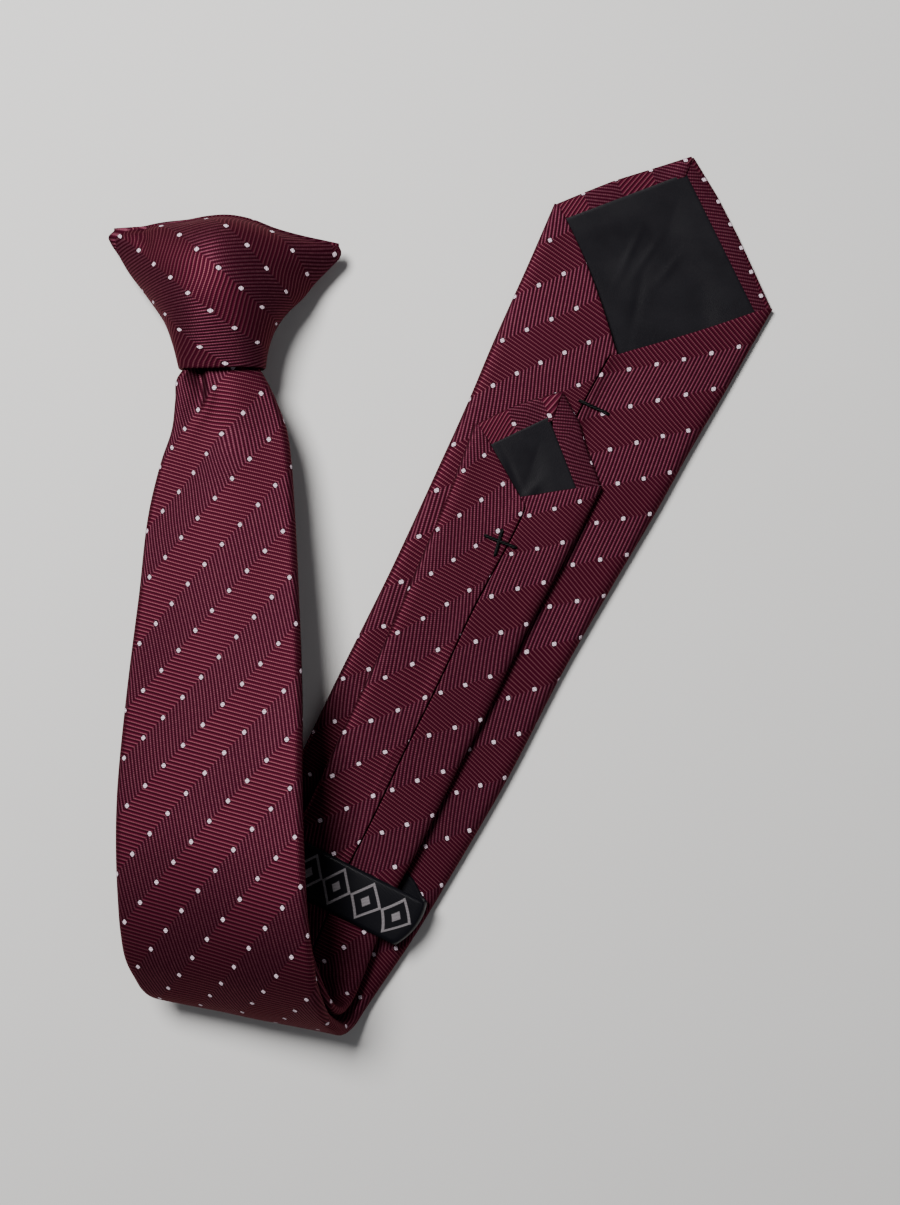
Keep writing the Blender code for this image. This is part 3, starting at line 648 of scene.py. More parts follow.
def sewn_piece(name, patches, material, outward=None):
    """One mesh from grids of points in millimetres and their flat places on the cloth."""
    vertices, faces, places = [], [], []
    start = 0
    for points, flats in patches:
        rows, columns = points.shape[:2]
        vertices.append(points.reshape(-1, 3))
        number = start + np.arange(rows * columns).reshape(rows, columns)
        quads = np.stack([number[:-1, :-1], number[:-1, 1:], number[1:, 1:], number[1:, :-1]], axis=-1)
        faces.append(quads.reshape(-1, 4))
        places.append(flats.reshape(-1, 2))
        start += rows * columns
    vertices = (np.concatenate(vertices) - LAID_MIDDLE) * MM
    faces = np.concatenate(faces)
    places = np.concatenate(places) * MM
    mesh = bpy.data.meshes.new(name)
    mesh.from_pydata(vertices.tolist(), [], faces.tolist())
    layer = mesh.uv_layers.new(name="cloth")
    layer.data.foreach_set("uv", places[faces.reshape(-1)].astype(np.float32).reshape(-1))
    work = bmesh.new()
    work.from_mesh(mesh)
    bmesh.ops.remove_doubles(work, verts=work.verts, dist=SAME_PLACE)
    bmesh.ops.recalc_face_normals(work, faces=work.faces)
    if outward is not None:
        facing = 0.0
        for face in work.faces:
            facing += face.normal.dot(Vector(outward(face.calc_center_median()))) * face.calc_area()
        if facing < 0:
            bmesh.ops.reverse_faces(work, faces=work.faces)
    work.to_mesh(mesh)
    work.free()
    mesh.shade_smooth()
    mesh.materials.append(material)
    return add_object(name, mesh)


def cloth_place(tree):
    """The place on the flat cloth, in metres."""
    node = tree.nodes.new("ShaderNodeUVMap")
    node.uv_map = "cloth"
    return node.outputs["UV"]


def along_and_across(tree, place):
    parts = tree.nodes.new("ShaderNodeSeparateXYZ")
    tree.links.new(place, parts.inputs[0])
    return parts.outputs["X"], parts.outputs["Y"]


def add_relief(tree, shader, height, strength, distance):
    """The fine relief of a weave under its shader."""
    bump = tree.nodes.new("ShaderNodeBump")
    bump.inputs["Strength"].default_value = strength
    bump.inputs["Distance"].default_value = distance
    tree.links.new(height, bump.inputs["Height"])
    tree.links.new(bump.outputs["Normal"], shader.inputs["Normal"])


# The weave, in millimetres: the yarn's small beads along a rib, the darker specks of the ground,
# the slits in a dot, and how far each stands up.
RIB_PITCH = 1.32
RIB_SLOPE = 0.61
BEAD_PITCH = 0.62
SPECK_PITCH = 0.9
SPECK_STEP = 0.34  # from a rib to the next one
DOT_SIZE = 0.64
DOT_SQUARENESS = 2.9
SLIT_PITCH = 0.75
RIB_HEIGHT = 0.14
BEAD_HEIGHT = 0.03
DOT_HEIGHT = 0.30
SLIT_HEIGHT = 0.06


def herringbone_group():
    """Herringbone with pin dots: ribs that turn at each band, and a dot row on each turn."""
    group = bpy.data.node_groups.new("herringbone_with_dots", "ShaderNodeTree")
    group.interface.new_socket("Cloth Place", in_out="INPUT", socket_type="NodeSocketVector")
    for name, value in (
        ("Band Width", BAND_WIDTH), ("Rib Pitch", RIB_PITCH), ("Rib Slope", RIB_SLOPE),
        ("Lean", ROW_LEAN), ("Dot Pitch", DOT_PITCH), ("Dot Size", DOT_SIZE),
    ):
        socket = group.interface.new_socket(name, in_out="INPUT", socket_type="NodeSocketFloat")
        socket.default_value = value
    for name in ("Rib", "Steep", "Speck", "Dot", "Dot Shade Ring", "Dot Slit", "Height"):
        group.interface.new_socket(name, in_out="OUTPUT", socket_type="NodeSocketFloat")
    given = group.nodes.new("NodeGroupInput").outputs
    result = group.nodes.new("NodeGroupOutput").inputs
    along_cloth, across_cloth = along_and_across(group, given["Cloth Place"])

    def c(operation, *values):
        return calc(group, operation, *values)

    def wave(value, pitch):
        return c("ADD", c("MULTIPLY", c("COSINE", c("MULTIPLY", value, 2 * math.pi / pitch)), 0.5), 0.5)

    y = c("MULTIPLY", across_cloth, PER_METRE)
    x = c("SUBTRACT", c("MULTIPLY", along_cloth, PER_METRE), c("MULTIPLY", y, given["Lean"]))
    wobble = noise_value(group, given["Cloth Place"], scale=120.0, detail=1.0)
    wobble = c("MULTIPLY", c("SUBTRACT", wobble, 0.5), 0.35)
    band = given["Band Width"]
    zigzag = c("MULTIPLY", c("SUBTRACT", band, c("PINGPONG", y, band)), given["Rib Slope"])
    ribs = c("ADD", c("DIVIDE", c("SUBTRACT", x, zigzag), given["Rib Pitch"]), c("MULTIPLY", wobble, 0.45))
    ridge = wave(ribs, 1.0)
    length = c("ADD", c("MULTIPLY", x, 0.52), c("MULTIPLY", zigzag, 1.40))
    bead = wave(length, BEAD_PITCH)
    speck = wave(c("ADD", length, c("MULTIPLY", c("FLOOR", ribs), SPECK_STEP)), SPECK_PITCH)

    row = c("ROUND", c("DIVIDE", y, band))
    from_row = c("SUBTRACT", y, c("MULTIPLY", row, band))
    along = c("DIVIDE", x, given["Dot Pitch"])
    from_dot = c("MULTIPLY", c("SUBTRACT", along, c("ROUND", along)), given["Dot Pitch"])
    uneven = noise_value(group, given["Cloth Place"], scale=700.0, detail=1.0)
    reach_x, reach_y = (
        c("POWER", c("DIVIDE", c("ABSOLUTE", distance), given["Dot Size"]), DOT_SQUARENESS)
        for distance in (from_dot, from_row)
    )
    reach = c("ADD", c("ADD", reach_x, reach_y), c("MULTIPLY", c("SUBTRACT", uneven, 0.5), 1.1))
    dot = spread_value(group, reach, 1.30, 0.70)
    # a dark ring just outside each dot: painted shade round the raised dot
    rim = c("SUBTRACT", spread_value(group, reach, 4.2, 1.4), dot)
    slits = wave(c("ADD", from_dot, c("MULTIPLY", from_row, 0.8)), SLIT_PITCH)
    slit = c("MULTIPLY", dot, spread_value(group, slits, 0.35, 0.0))

    # the ribs that stand steep to the rows are broad, the others show as thin bright lines
    steep = c("GREATER_THAN", c("FRACT", c("DIVIDE", y, c("MULTIPLY", band, 2.0))), 0.5)
    broad, thin = spread_value(group, ridge, 0.24, 0.78), spread_value(group, ridge, 0.66, 0.97)
    rib = c("ADD", thin, c("MULTIPLY", steep, c("SUBTRACT", broad, thin)))
    rib = c("MULTIPLY", rib, c("ADD", 0.70, c("MULTIPLY", bead, 0.30)))
    plain = c("SUBTRACT", 1.0, dot)
    height = c("ADD", c("MULTIPLY", ridge, RIB_HEIGHT), c("MULTIPLY", bead, BEAD_HEIGHT))
    height = c("MULTIPLY", height, plain)
    dome = c("MULTIPLY", dot, c("SUBTRACT", DOT_HEIGHT, c("MULTIPLY", slit, SLIT_HEIGHT)))
    for name, value in (
        ("Rib", rib), ("Steep", steep), ("Speck", speck), ("Dot", dot), ("Dot Shade Ring", rim),
        ("Dot Slit", slit), ("Height", c("ADD", height, dome)),
    ):
        group.links.new(value, result[name])
    return group


SATIN = 0.7  # how far the smooth yarn throws light back like a tinted mirror
# colours of the ground and of the ribs, each in a band with low ribs and in one with steep ribs; the darker
# steep-rib pair is painted shade, for the sheen that the steep twill turns away from the light
GROUND_LIT_AND_SHADED_COLOURS = ((0.042, 0.0033, 0.0119), (0.0256, 0.0016, 0.0071))
RIB_LIT_AND_SHADED_COLOURS = ((0.130, 0.0378, 0.0504), (0.083, 0.0207, 0.0365))
SPECK_COLOUR = (0.0476, 0.0038, 0.0137)
RIB_CLOUD_COLOUR = (0.1035, 0.027, 0.0432)
RIB_GLINT_COLOUR = (0.148, 0.0495, 0.0648)
# the painted shade ring round each raised dot
DOT_SHADE_RING_COLOUR = (0.008, 0.0006, 0.002)
DOT_COLOURS = ((0.66, 0.52, 0.62), (0.98, 0.82, 0.92))
DOT_SLIT_COLOUR = (0.20, 0.09, 0.14)


def wine_cloth(weave):
    """Wine red yarn-dyed cloth: light ribs on a dark ground, pale lilac pin dots."""
    material, tree, shader = new_material("wine_herringbone")
    place = cloth_place(tree)
    node = tree.nodes.new("ShaderNodeGroup")
    node.node_tree = weave
    tree.links.new(place, node.inputs["Cloth Place"])
    out = node.outputs
    broad = noise_value(tree, place, scale=35.0)
    fine = noise_value(tree, place, scale=900.0)
    # bands with steep ribs take the darker colours: painted shade on the same yarn
    ground = mix_colour(tree, out["Steep"], *GROUND_LIT_AND_SHADED_COLOURS)
    ground = mix_colour(tree, calc(tree, "MULTIPLY", out["Speck"], 0.5), ground, SPECK_COLOUR)
    light = mix_colour(tree, out["Steep"], *RIB_LIT_AND_SHADED_COLOURS)
    light = mix_colour(tree, spread_value(tree, broad, 0.3, 0.7, 0.0, 0.35), light, RIB_CLOUD_COLOUR)
    light = mix_colour(tree, spread_value(tree, fine, 0.35, 0.75, 0.0, 0.5), light, RIB_GLINT_COLOUR)
    cloth = mix_colour(tree, out["Rib"], ground, light)
    # darken the ring round each dot: painted shade
    cloth = mix_colour(tree, calc(tree, "MULTIPLY", out["Dot Shade Ring"], 0.5), cloth, DOT_SHADE_RING_COLOUR)
    pale = mix_colour(tree, fine, *DOT_COLOURS)
    pale = mix_colour(tree, calc(tree, "MULTIPLY", out["Dot Slit"], 0.8), pale, DOT_SLIT_COLOUR)
    cloth = mix_colour(tree, out["Dot"], cloth, pale)
    tree.links.new(cloth, shader.inputs["Base Color"])
    tree.links.new(spread_value(tree, out["Rib"], 0.0, 1.0, 0.60, 0.50), shader.inputs["Roughness"])
    plain = calc(tree, "SUBTRACT", 1.0, out["Dot"])
    tree.links.new(calc(tree, "MULTIPLY", plain, SATIN), shader.inputs["Metallic"])
    shader.inputs["Sheen Weight"].default_value = 0.02
    shader.inputs["Sheen Roughness"].default_value = 0.45
    shader.inputs["Sheen Tint"].default_value = (1.0, 0.6, 0.7, 1.0)
    shader.inputs["Specular IOR Level"].default_value = 0.13
    shader.inputs["Specular Tint"].default_value = (0.55, 0.16, 0.24, 1.0)
    add_relief(tree, shader, out["Height"], strength=0.8, distance=MM)
    return material


# The pleat under the knot: where its valley runs, how deep it is, and how high the fold on its
# left and the crown on its right stand, at lengths along the blade.
PLEAT_ALONG = (0.0, 12.0, 17.0, 21.0, 25.0, 29.0, 34.0, 52.0)
PLEAT_VALLEY = (-6.3, -6.3, -6.2, -6.2, -7.2, -9.5, -13.0, -19.0)
PLEAT_DEPTH = (0.0, 2.4, 2.8, 2.0, 1.2, 0.5, 0.0, 0.0)
PLEAT_FOLD = (0.0, 0.3, 0.5, 0.6, 0.5, 0.3, 0.1, 0.0)
PLEAT_CROWN = (0.0, 1.0, 1.5, 1.6, 1.5, 1.3, 1.0, 0.2)
VALLEY_WIDTHS = (3.2, 1.0)  # to the left and to the right of its line
FOLD_PLACE = (2.6, 1.8)  # of its middle beside the valley, and its width
CROWN_PLACE = (3.0, 8.0)  # of its middle beside the blade's, and its width


def blade_lift(along, offset):
    """The pleat under the knot: a hollow on the left, and the cloth rolling up beside it."""
    valley, depth, fold, crown = (
        np.interp(along, PLEAT_ALONG, row) for row in (PLEAT_VALLEY, PLEAT_DEPTH, PLEAT_FOLD, PLEAT_CROWN)
    )
    beside = offset - valley
    width = np.where(beside > 0, VALLEY_WIDTHS[1], VALLEY_WIDTHS[0])
    hollow = depth * np.exp(-np.abs(beside / width) ** 1.7)
    fold = fold * np.exp(-((beside - FOLD_PLACE[0]) / FOLD_PLACE[1]) ** 2)
    crown = crown * np.exp(-((offset - CROWN_PLACE[0]) / CROWN_PLACE[1]) ** 2)
    return fold - hollow + crown


cloth_material = wine_cloth(herringbone_group())


def make_tube(name, strip, grain, nodes, lift=None):
    points, flats, columns = tube_patch(strip, lift)
    patches = [(points, flats)] + v_hems(strip, points, flats, columns)
    patches = [(p, on_the_rows(f, grain)) for p, f in patches] + tip_border(strip, points, flats, columns)
    piece = sewn_piece(name, patches, cloth_material)
    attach(piece, "tie")
    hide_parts(*nodes)
    return piece, sum(grid_area(points) for points, _ in patches)


blade_strip = Strip(BLADE_SECTIONS, BLADE)
blade, blade_area = make_tube(
    "blade_cloth", blade_strip, BLADE_GRAIN, ("blade_front_stretch", "blade_back_stretch"), blade_lift,
)

# ---- The tail ----------------------------------------------------------------------------
# The narrow back piece, made like the blade from the same cloth. It comes out of the knot
# behind the blade, turns inside the blade's roll and lies on the blade's back.

TAIL_SECTIONS = (
    (-81.0, 88.5, 11.5, -63.0, 88.5, 11.5),
    (-81.3, 79.0, 11.5, -62.0, 79.0, 11.5),
    (-81.9, 72.5, 11.5, -61.2, 72.5, 11.5),
    (-86.5, 48.0, 12.5, -57.5, 48.0, 12.5),
    (-91.0, 1.0, 16.0, -56.5, 1.0, 16.5),
    (-90.5, -46.0, 20.5, -53.5, -46.0, 22.5),
    (-87.5, -76.5, 22.5, -49.5, -80.0, 25.5),
    (-83.0, -93.5, 23.0, -44.5, -99.0, 27.5),
    (-79.0, -104.5, 21.5, -40.3, -114.0, 26.2),
    (-76.0, -112.0, 18.8, -37.6, -122.2, 22.4),
    (-74.0, -116.0, 15.3, -35.0, -127.3, 17.8),
    (-72.0, -117.0, 11.5, -33.0, -128.3, 13.5),
    (-69.0, -114.2, 9.0, -30.8, -126.0, 10.0),
    (-65.5, -107.4, 7.9, -28.0, -119.8, 8.2),
    (-59.5, -94.5, 7.6, -24.0, -109.5, 7.6),
    (-52.0, -78.5, 7.5, -18.5, -94.5, 7.5),
    (-44.5, -63.0, 7.1, -10.5, -79.5, 7.1),
    (-31.5, -35.0, 6.1, 3.0, -52.5, 6.1),
    (-24.0, -19.5, 6.1, 11.0, -37.0, 6.1),
    (-9.5, 13.5, 6.1, 27.0, -4.5, 6.1),
    (-1.0, 33.5, 6.1, 37.5, 15.0, 6.1),
    (8.0, 57.0, 6.1, 48.5, 36.5, 6.1),
)
TAIL = {
    "thickness": 3.2,
    "tip_thickness": 2.5,
    "thinning": 30.0,
    "peak": -0.115,
    "point": (
        (-2.0, -16.4), (-1.0, 0.0), (-0.73, 7.8), (-0.5, 13.3), (-0.115, 21.0),
        (0.3, 14.8), (0.55, 8.9), (1.0, 0.0), (2.0, -16.4),
    ),
    "border": (7.1, 6.2),
    "border_rows": ((94.7, 7.6, -4.1), (0.0, 0.1, 1.8)),
    "seam_over": -1.0,
    "seam_past": (2.4, 1.0),
    "columns": (6, 6, 32),
    "row": 1.366,
    "seed": 8.0,
}
TAIL_GRAIN = (
    (0.0, -60.0, 47.0, 1.0, 47.0, 1.0, 0.6, 10.0),
    (-47.0, -375.0, 43.3, 1.02, 42.0, 1.05, 7.36, 3.9),
    (16.0, -392.0, 35.6, 0.98, 33.3, 1.04, 5.85, 9.15),
)

tail_strip = Strip(TAIL_SECTIONS, TAIL)
tail, tail_area = make_tube(
    "tail_cloth", tail_strip, TAIL_GRAIN, ("tail_front_stretch", "tail_back_stretch"),
)

# ---- The tippings ------------------------------------------------------------------------
# Black lining cloth felled over the turned borders in the open backs of both tips, and held
# under the edges of the panels. It is a little loose, so it wrinkles.

LINING_OVER_BORDER = 0.30
LINING_HELD = 4.165  # width felled flat over the border, and over how much it falls then
LINING_FALL = 11.9
LINING_SAG = 0.6  # how far it lies lower inside the borders
LINING_FOLD = 0.16
LINING_TURNED = 1.5
LINING_STEPS = 56
LINING_THREADS = (0.00042, 0.00055)  # pitch of the twill across and along


def lining_material():
    """Black lining: a fine close twill with a low shine."""
    material, tree, shader = new_material("black_lining_cloth")
    place = cloth_place(tree)
    turns = [
        calc(tree, "MULTIPLY", value, 2 * math.pi / pitch)
        for value, pitch in zip(along_and_across(tree, place), LINING_THREADS)
    ]
    twill = calc(tree, "COSINE", calc(tree, "ADD", *turns))
    cloud = noise_value(tree, place, scale=70.0, detail=3.0)
    colour = mix_colour(tree, cloud, (0.0028, 0.0024, 0.0042), (0.0048, 0.0042, 0.0068))
    shine = spread_value(tree, twill, -1.0, 1.0, 0.0, 0.30, False)
    colour = mix_colour(tree, shine, colour, (0.0085, 0.0076, 0.0112))
    tree.links.new(colour, shader.inputs["Base Color"])
    tree.links.new(spread_value(tree, cloud, 0.3, 0.7, 0.42, 0.55), shader.inputs["Roughness"])
    shader.inputs["Specular IOR Level"].default_value = 0.22
    add_relief(tree, shader, twill, strength=0.5, distance=0.00006)
    return material


def make_tipping(name, strip, corners, wrinkles, node):
    """A sheet from the peak to two far corners, given as (across, beyond the tip corners)."""
    half_width = float(strip.half_width(strip.length))
    peak, left, right = (
        strip.place(np.array([strip.length + beyond]), np.array([across * half_width]), np.array([0.0]))[0]
        for across, beyond in corners
    )
    face_level = strip.lowest - strip.sizes["thickness"] / 2
    level = face_level + 2 * BORDER_RADIUS + LINING_OVER_BORDER
    steps = np.linspace(0, 1, LINING_STEPS)
    a, b = np.meshgrid(steps, steps, indexing="ij")
    flat = peak + (left - peak) * a[..., None] + (right - peak) * b[..., None]
    from_edge = np.minimum(a, b) * np.linalg.norm(left - peak)
    inner = eased((from_edge - LINING_HELD) / LINING_FALL)
    height = level - LINING_SAG * inner
    for across, along, width, length, turn, rise in wrinkles:
        x, y = a - across, b - along
        cos, sin = math.cos(math.radians(turn)), math.sin(math.radians(turn))
        u, v = (x * cos + y * sin) / length, (-x * sin + y * cos) / width
        height = height + rise * np.exp(-u**2 - v**2) * (0.15 + 0.85 * inner)
    points = np.dstack([flat[..., 0], flat[..., 1], height])
    size = (np.linalg.norm(left - peak), np.linalg.norm(right - peak))
    flats = np.dstack([a * size[0], b * size[1]])
    patches = [(points, flats)]
    for line, flat_line, way_out, flat_way_out in (
        (points[:, 0], flats[:, 0], peak - right, np.array([0.0, -1.0])),
        (points[0, :], flats[0, :], peak - left, np.array([-1.0, 0.0])),
    ):
        outward = (out_of_line(line, 0 * line + way_out), 0 * flat_line + flat_way_out)
        patches.append(turned_edge(line, flat_line, outward, DOWN, LINING_FOLD, LINING_TURNED, 4, 1))
    piece = sewn_piece(name, patches, black_lining, lambda p: (0.0, 0.0, 1.0))
    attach(piece, "tie")
    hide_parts(node)
    return piece, size


black_lining = lining_material()
# each wrinkle: centre (down the left edge, down the right edge), width, length, turn, rise
blade_tipping, blade_tipping_size = make_tipping(
    "blade_tipping_cloth", blade_strip, ((-0.133, 27.0), (-0.93, -6.9), (0.93, -4.3)),
    (
        (0.60, 0.33, 0.020, 0.20, 38.0, 0.20),
        (0.52, 0.40, 0.018, 0.16, 30.0, 0.16),
        (0.42, 0.52, 0.022, 0.14, 24.0, 0.14),
        (0.70, 0.62, 0.030, 0.22, 50.0, -0.16),
        (0.30, 0.80, 0.10, 0.30, 62.0, -0.30),
    ),
    "blade_tipping",
)
tail_tipping, tail_tipping_size = make_tipping(
    "tail_tipping_cloth", tail_strip, ((-0.121, 12.2), (-0.89, -9.5), (0.87, -8.6)),
    (
        (0.62, 0.22, 0.035, 0.22, 95.0, -0.55),
        (0.70, 0.30, 0.05, 0.20, 95.0, 0.35),
        (0.45, 0.60, 0.06, 0.18, 20.0, 0.30),
        (0.30, 0.40, 0.10, 0.25, 60.0, -0.25),
    ),
    "tail_tipping",
)

# ---- The keeper loop ---------------------------------------------------------------------
# A ring of black satin ribbon sewn to the blade's back, with the tail through it. Its woven
# ornament is a plain chain of lozenges in silver grey thread.

KEEPER_CENTRE = (-36.0, -89.8)
KEEPER_ALONG = (0.893, -0.450)
KEEPER_HALF_LENGTH = 26.7
KEEPER_BAND = 16.4
KEEPER_LEVELS = (4.55, 10.3)
KEEPER_END_RADIUS = 1.5
KEEPER_END_BULGE = (2.1, 3.0, 0.028)  # the right end is rounded: most, where across, and fall
KEEPER_UNDER_SHIFT = 4.8  # of the lower layer, up the tail near its right end
KEEPER_SHIFT_START = (-22.0, 26.0)  # where the shift starts from the middle, and over how much
KEEPER_SHIFT_END = (1.5, 9.0)  # where it ends past the straight part, and over how much
KEEPER_STEPS = (30, 12)  # along each layer and round each end
KEEPER_COLUMNS = 13
KEEPER_RIPPLE = 0.12
KEEPER_EDGE_CURL = 0.18
RIBBON_THICKNESS = 0.00025
RIBBON_WEFT = 0.38  # pitch of its threads, in millimetres
RIBBON_WARP = 0.5
LOZENGE_PITCH = 9.8
LOZENGE_HALF = (4.5, 6.0)  # along and across the ribbon
SMALL_LOZENGE_HALF = (1.5, 2.0)
ORNAMENT_HALF = 24.6  # five whole lozenges


def satin_ribbon():
    """Black satin with a chain of lozenges, each with a small one in its middle."""
    material, tree, shader = new_material("black_satin_ribbon")

    def c(operation, *values):
        return calc(tree, operation, *values)

    x, y = (c("MULTIPLY", value, PER_METRE) for value in along_and_across(tree, cloth_place(tree)))
    weft = c("COSINE", c("MULTIPLY", x, 2 * math.pi / RIBBON_WEFT))
    thread = c("FLOOR", c("DIVIDE", x, RIBBON_WEFT))
    warp = c("ADD", c("MULTIPLY", y, 2 * math.pi / RIBBON_WARP), c("MULTIPLY", thread, 2.1))
    warp = c("COSINE", warp)
    step = c("DIVIDE", x, LOZENGE_PITCH)
    from_middle = c("ABSOLUTE", c("MULTIPLY", c("SUBTRACT", step, c("ROUND", step)), LOZENGE_PITCH))
    rise = c("ABSOLUTE", y)
    reach, small_reach = (
        c("ADD", c("DIVIDE", from_middle, along), c("DIVIDE", rise, across))
        for along, across in (LOZENGE_HALF, SMALL_LOZENGE_HALF)
    )
    lozenge = spread_value(tree, c("ABSOLUTE", c("SUBTRACT", reach, 1.0)), 0.125, 0.085)
    small = spread_value(tree, small_reach, 1.1, 0.9)
    figure = c("MULTIPLY", c("MAXIMUM", lozenge, small), spread_value(tree, warp, -1.2, 0.2, 0.35, 1.0))
    on_top = spread_value(tree, c("ABSOLUTE", x), ORNAMENT_HALF + 0.2, ORNAMENT_HALF - 0.2)
    figure = c("MULTIPLY", figure, on_top)
    shine = spread_value(tree, weft, -1.0, 1.0, 0.0, 1.0, False)
    ground = mix_colour(tree, shine, (0.0022, 0.0021, 0.0036), (0.0056, 0.0054, 0.0080))
    colour = mix_colour(tree, figure, ground, (0.23, 0.21, 0.225))
    tree.links.new(colour, shader.inputs["Base Color"])
    tree.links.new(spread_value(tree, figure, 0.0, 1.0, 0.36, 0.6), shader.inputs["Roughness"])
    shader.inputs["Specular IOR Level"].default_value = 0.13
    shader.inputs["Anisotropic"].default_value = 0.3
    height = c("ADD", c("MULTIPLY", weft, 0.02), c("MULTIPLY", figure, 0.12))
    add_relief(tree, shader, height, strength=0.7, distance=MM)
    return material


def keeper_path(straight, radius):
    """The ring of ribbon from its side: two straight layers and two round ends."""
    path = []
    for side in (1, -1):
        for part in np.linspace(-1.0, 1.0, KEEPER_STEPS[0], endpoint=False):
            path.append((-side * straight * part, side * radius))
        for angle in np.linspace(0.5 * math.pi, -0.5 * math.pi, KEEPER_STEPS[1], endpoint=False):
            reach = straight + KEEPER_END_RADIUS * math.cos(angle)
            path.append((-side * reach, side * radius * math.sin(angle)))
    return np.array(path + path[:1])


def make_keeper():
    band = unit(np.array([*KEEPER_ALONG, 0.0]))
    onward = np.array([-band[1], band[0], 0.0])
    low, high = KEEPER_LEVELS
    radius = (high - low) / 2
    straight = KEEPER_HALF_LENGTH - KEEPER_END_RADIUS
    path = keeper_path(straight, radius)
    across = np.linspace(-KEEPER_BAND / 2, KEEPER_BAND / 2, KEEPER_COLUMNS)
    centre = np.array([*KEEPER_CENTRE, (low + high) / 2])
    reach, up = path[:, 0][:, None], path[:, 1][:, None]
    (start, start_over), (end, end_over) = KEEPER_SHIFT_START, KEEPER_SHIFT_END
    shifted = eased((straight + end - reach) / end_over) * eased((reach - start) / start_over)
    under = np.clip(0.5 - up / (2 * radius), 0.0, 1.0) * shifted * KEEPER_UNDER_SHIFT
    ripple = KEEPER_RIPPLE * np.sin(reach / 6.0 + across[None, :] / 5.0) * (up > 0)
    edge_curl = -KEEPER_EDGE_CURL * (np.abs(across[None, :]) / (KEEPER_BAND / 2)) ** 6 * np.sign(up)
    most, where, fall = KEEPER_END_BULGE
    bulge = (most - fall * (across[None, :] - where) ** 2) * eased(reach / straight)
    points = centre + band * (reach + bulge)[..., None] + onward * (across[None, :] + under)[..., None]
    points = points + UP * (up + ripple + edge_curl)[..., None]
    lengths = np.concatenate([[0.0], np.cumsum(np.linalg.norm(np.diff(path, axis=0), axis=1))])
    flats = np.stack(np.meshgrid(lengths - straight, across, indexing="ij"), axis=-1)
    piece = sewn_piece("keeper_ribbon", [(points, flats)], satin_ribbon())
    wall = piece.modifiers.new("ribbon_thickness", "SOLIDIFY")
    wall.thickness = RIBBON_THICKNESS
    wall.offset = 0.0
    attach(piece, "tie")
    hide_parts("keeper_loop")


make_keeper()

# ---- The knot ----------------------------------------------------------------------------
# A separate piece of the same cloth wrapped over a stiff form: a wedge with two wings whose
# tips turn down, seamed at the back, and turned in at the mouth where the blade comes out.

KNOT_BACK = 8.0
KNOT_RINGS = (
    # share of the way down, left, right, crown, rim, power across, power up
    (0.000, -107.0, -35.3, 12.5, 6.60, 1.60, 1.10),
    (0.040, -108.8, -34.6, 17.3, 6.40, 1.60, 1.10),
    (0.083, -108.2, -34.9, 20.5, 6.20, 1.60, 1.10),
    (0.175, -105.5, -38.1, 24.3, 6.35, 1.68, 1.14),
    (0.296, -102.3, -42.6, 26.8, 7.10, 1.76, 1.20),
    (0.430, -97.8, -46.6, 27.6, 8.50, 1.90, 1.37),
    (0.545, -94.0, -51.0, 27.4, 10.10, 2.05, 1.60),
    (0.666, -90.3, -54.3, 26.4, 11.70, 2.22, 1.83),
    (0.836, -87.2, -56.8, 24.2, 13.80, 2.44, 2.03),
    (1.000, -85.2, -57.8, 22.0, 15.00, 2.60, 2.20),
)
# y of the top edge and of the mouth, from the left outline (-1) to the right (1)
KNOT_TOP_EDGE = (
    (-1.0, 119.1), (-0.8, 119.3), (-0.5, 120.7), (-0.33, 121.2), (-0.14, 122.3), (0.03, 122.6),
    (0.23, 121.4), (0.44, 118.6), (0.7, 116.2), (0.86, 115.1), (1.0, 114.2),
)
KNOT_MOUTH_EDGE = ((-1.0, 73.7), (-0.4, 73.4), (0.4, 73.7), (1.0, 73.9))
KNOT_TOP_ROUNDING = 0.9
KNOT_MOUTH_FOLD = 0.7
# Where the dots of each row lie on the front: number of the row and of its first dot, then the
# dots' x and y. The rows bend over the wings, because the cloth is stretched round the form.
KNOT_DOTS = (
    (-1, 2, ((-97.8, 99.5), (-93.0, 94.1), (-89.1, 89.5), (-83.4, 84.1), (-76.7, 79.0), (-69.9, 74.2))),
    (0, 0, (
        (-104.1, 116.0), (-97.9, 110.6), (-92.4, 105.5), (-86.7, 100.5), (-80.7, 95.6), (-74.0, 90.3),
        (-66.8, 85.1), (-60.7, 79.8),
    )),
    (1, 1, (
        (-91.7, 120.1), (-84.7, 113.3), (-78.6, 108.3), (-71.8, 103.0), (-64.3, 97.7), (-58.2, 92.1),
        (-54.3, 87.1),
    )),
    (2, 3, ((-69.5, 116.1), (-62.4, 109.2), (-56.1, 103.3), (-50.7, 97.6), (-49.9, 92.3))),
    (3, 4, ((-55.2, 117.7), (-49.0, 110.1), (-44.4, 104.1))),
    (4, 6, ((-38.1, 109.3),)),
)
KNOT_ROWS_ANGLE = -39.5
KNOT_WAVES = 0.14
KNOT_SEAM_LAP = 0.05  # in half widths
KNOT_SEAM_STEP = 0.35
KNOT_BACK_COLUMNS = 18  # from the seam to an outline
KNOT_HALF_TURN = 44  # columns from an outline to the middle of the front
# rows of the knot's outside, as shares of the way down, finer where the wings turn in
KNOT_ROWS = np.concatenate([np.linspace(0, 0.1, 8, endpoint=False), np.linspace(0.1, 1.0, 46)])
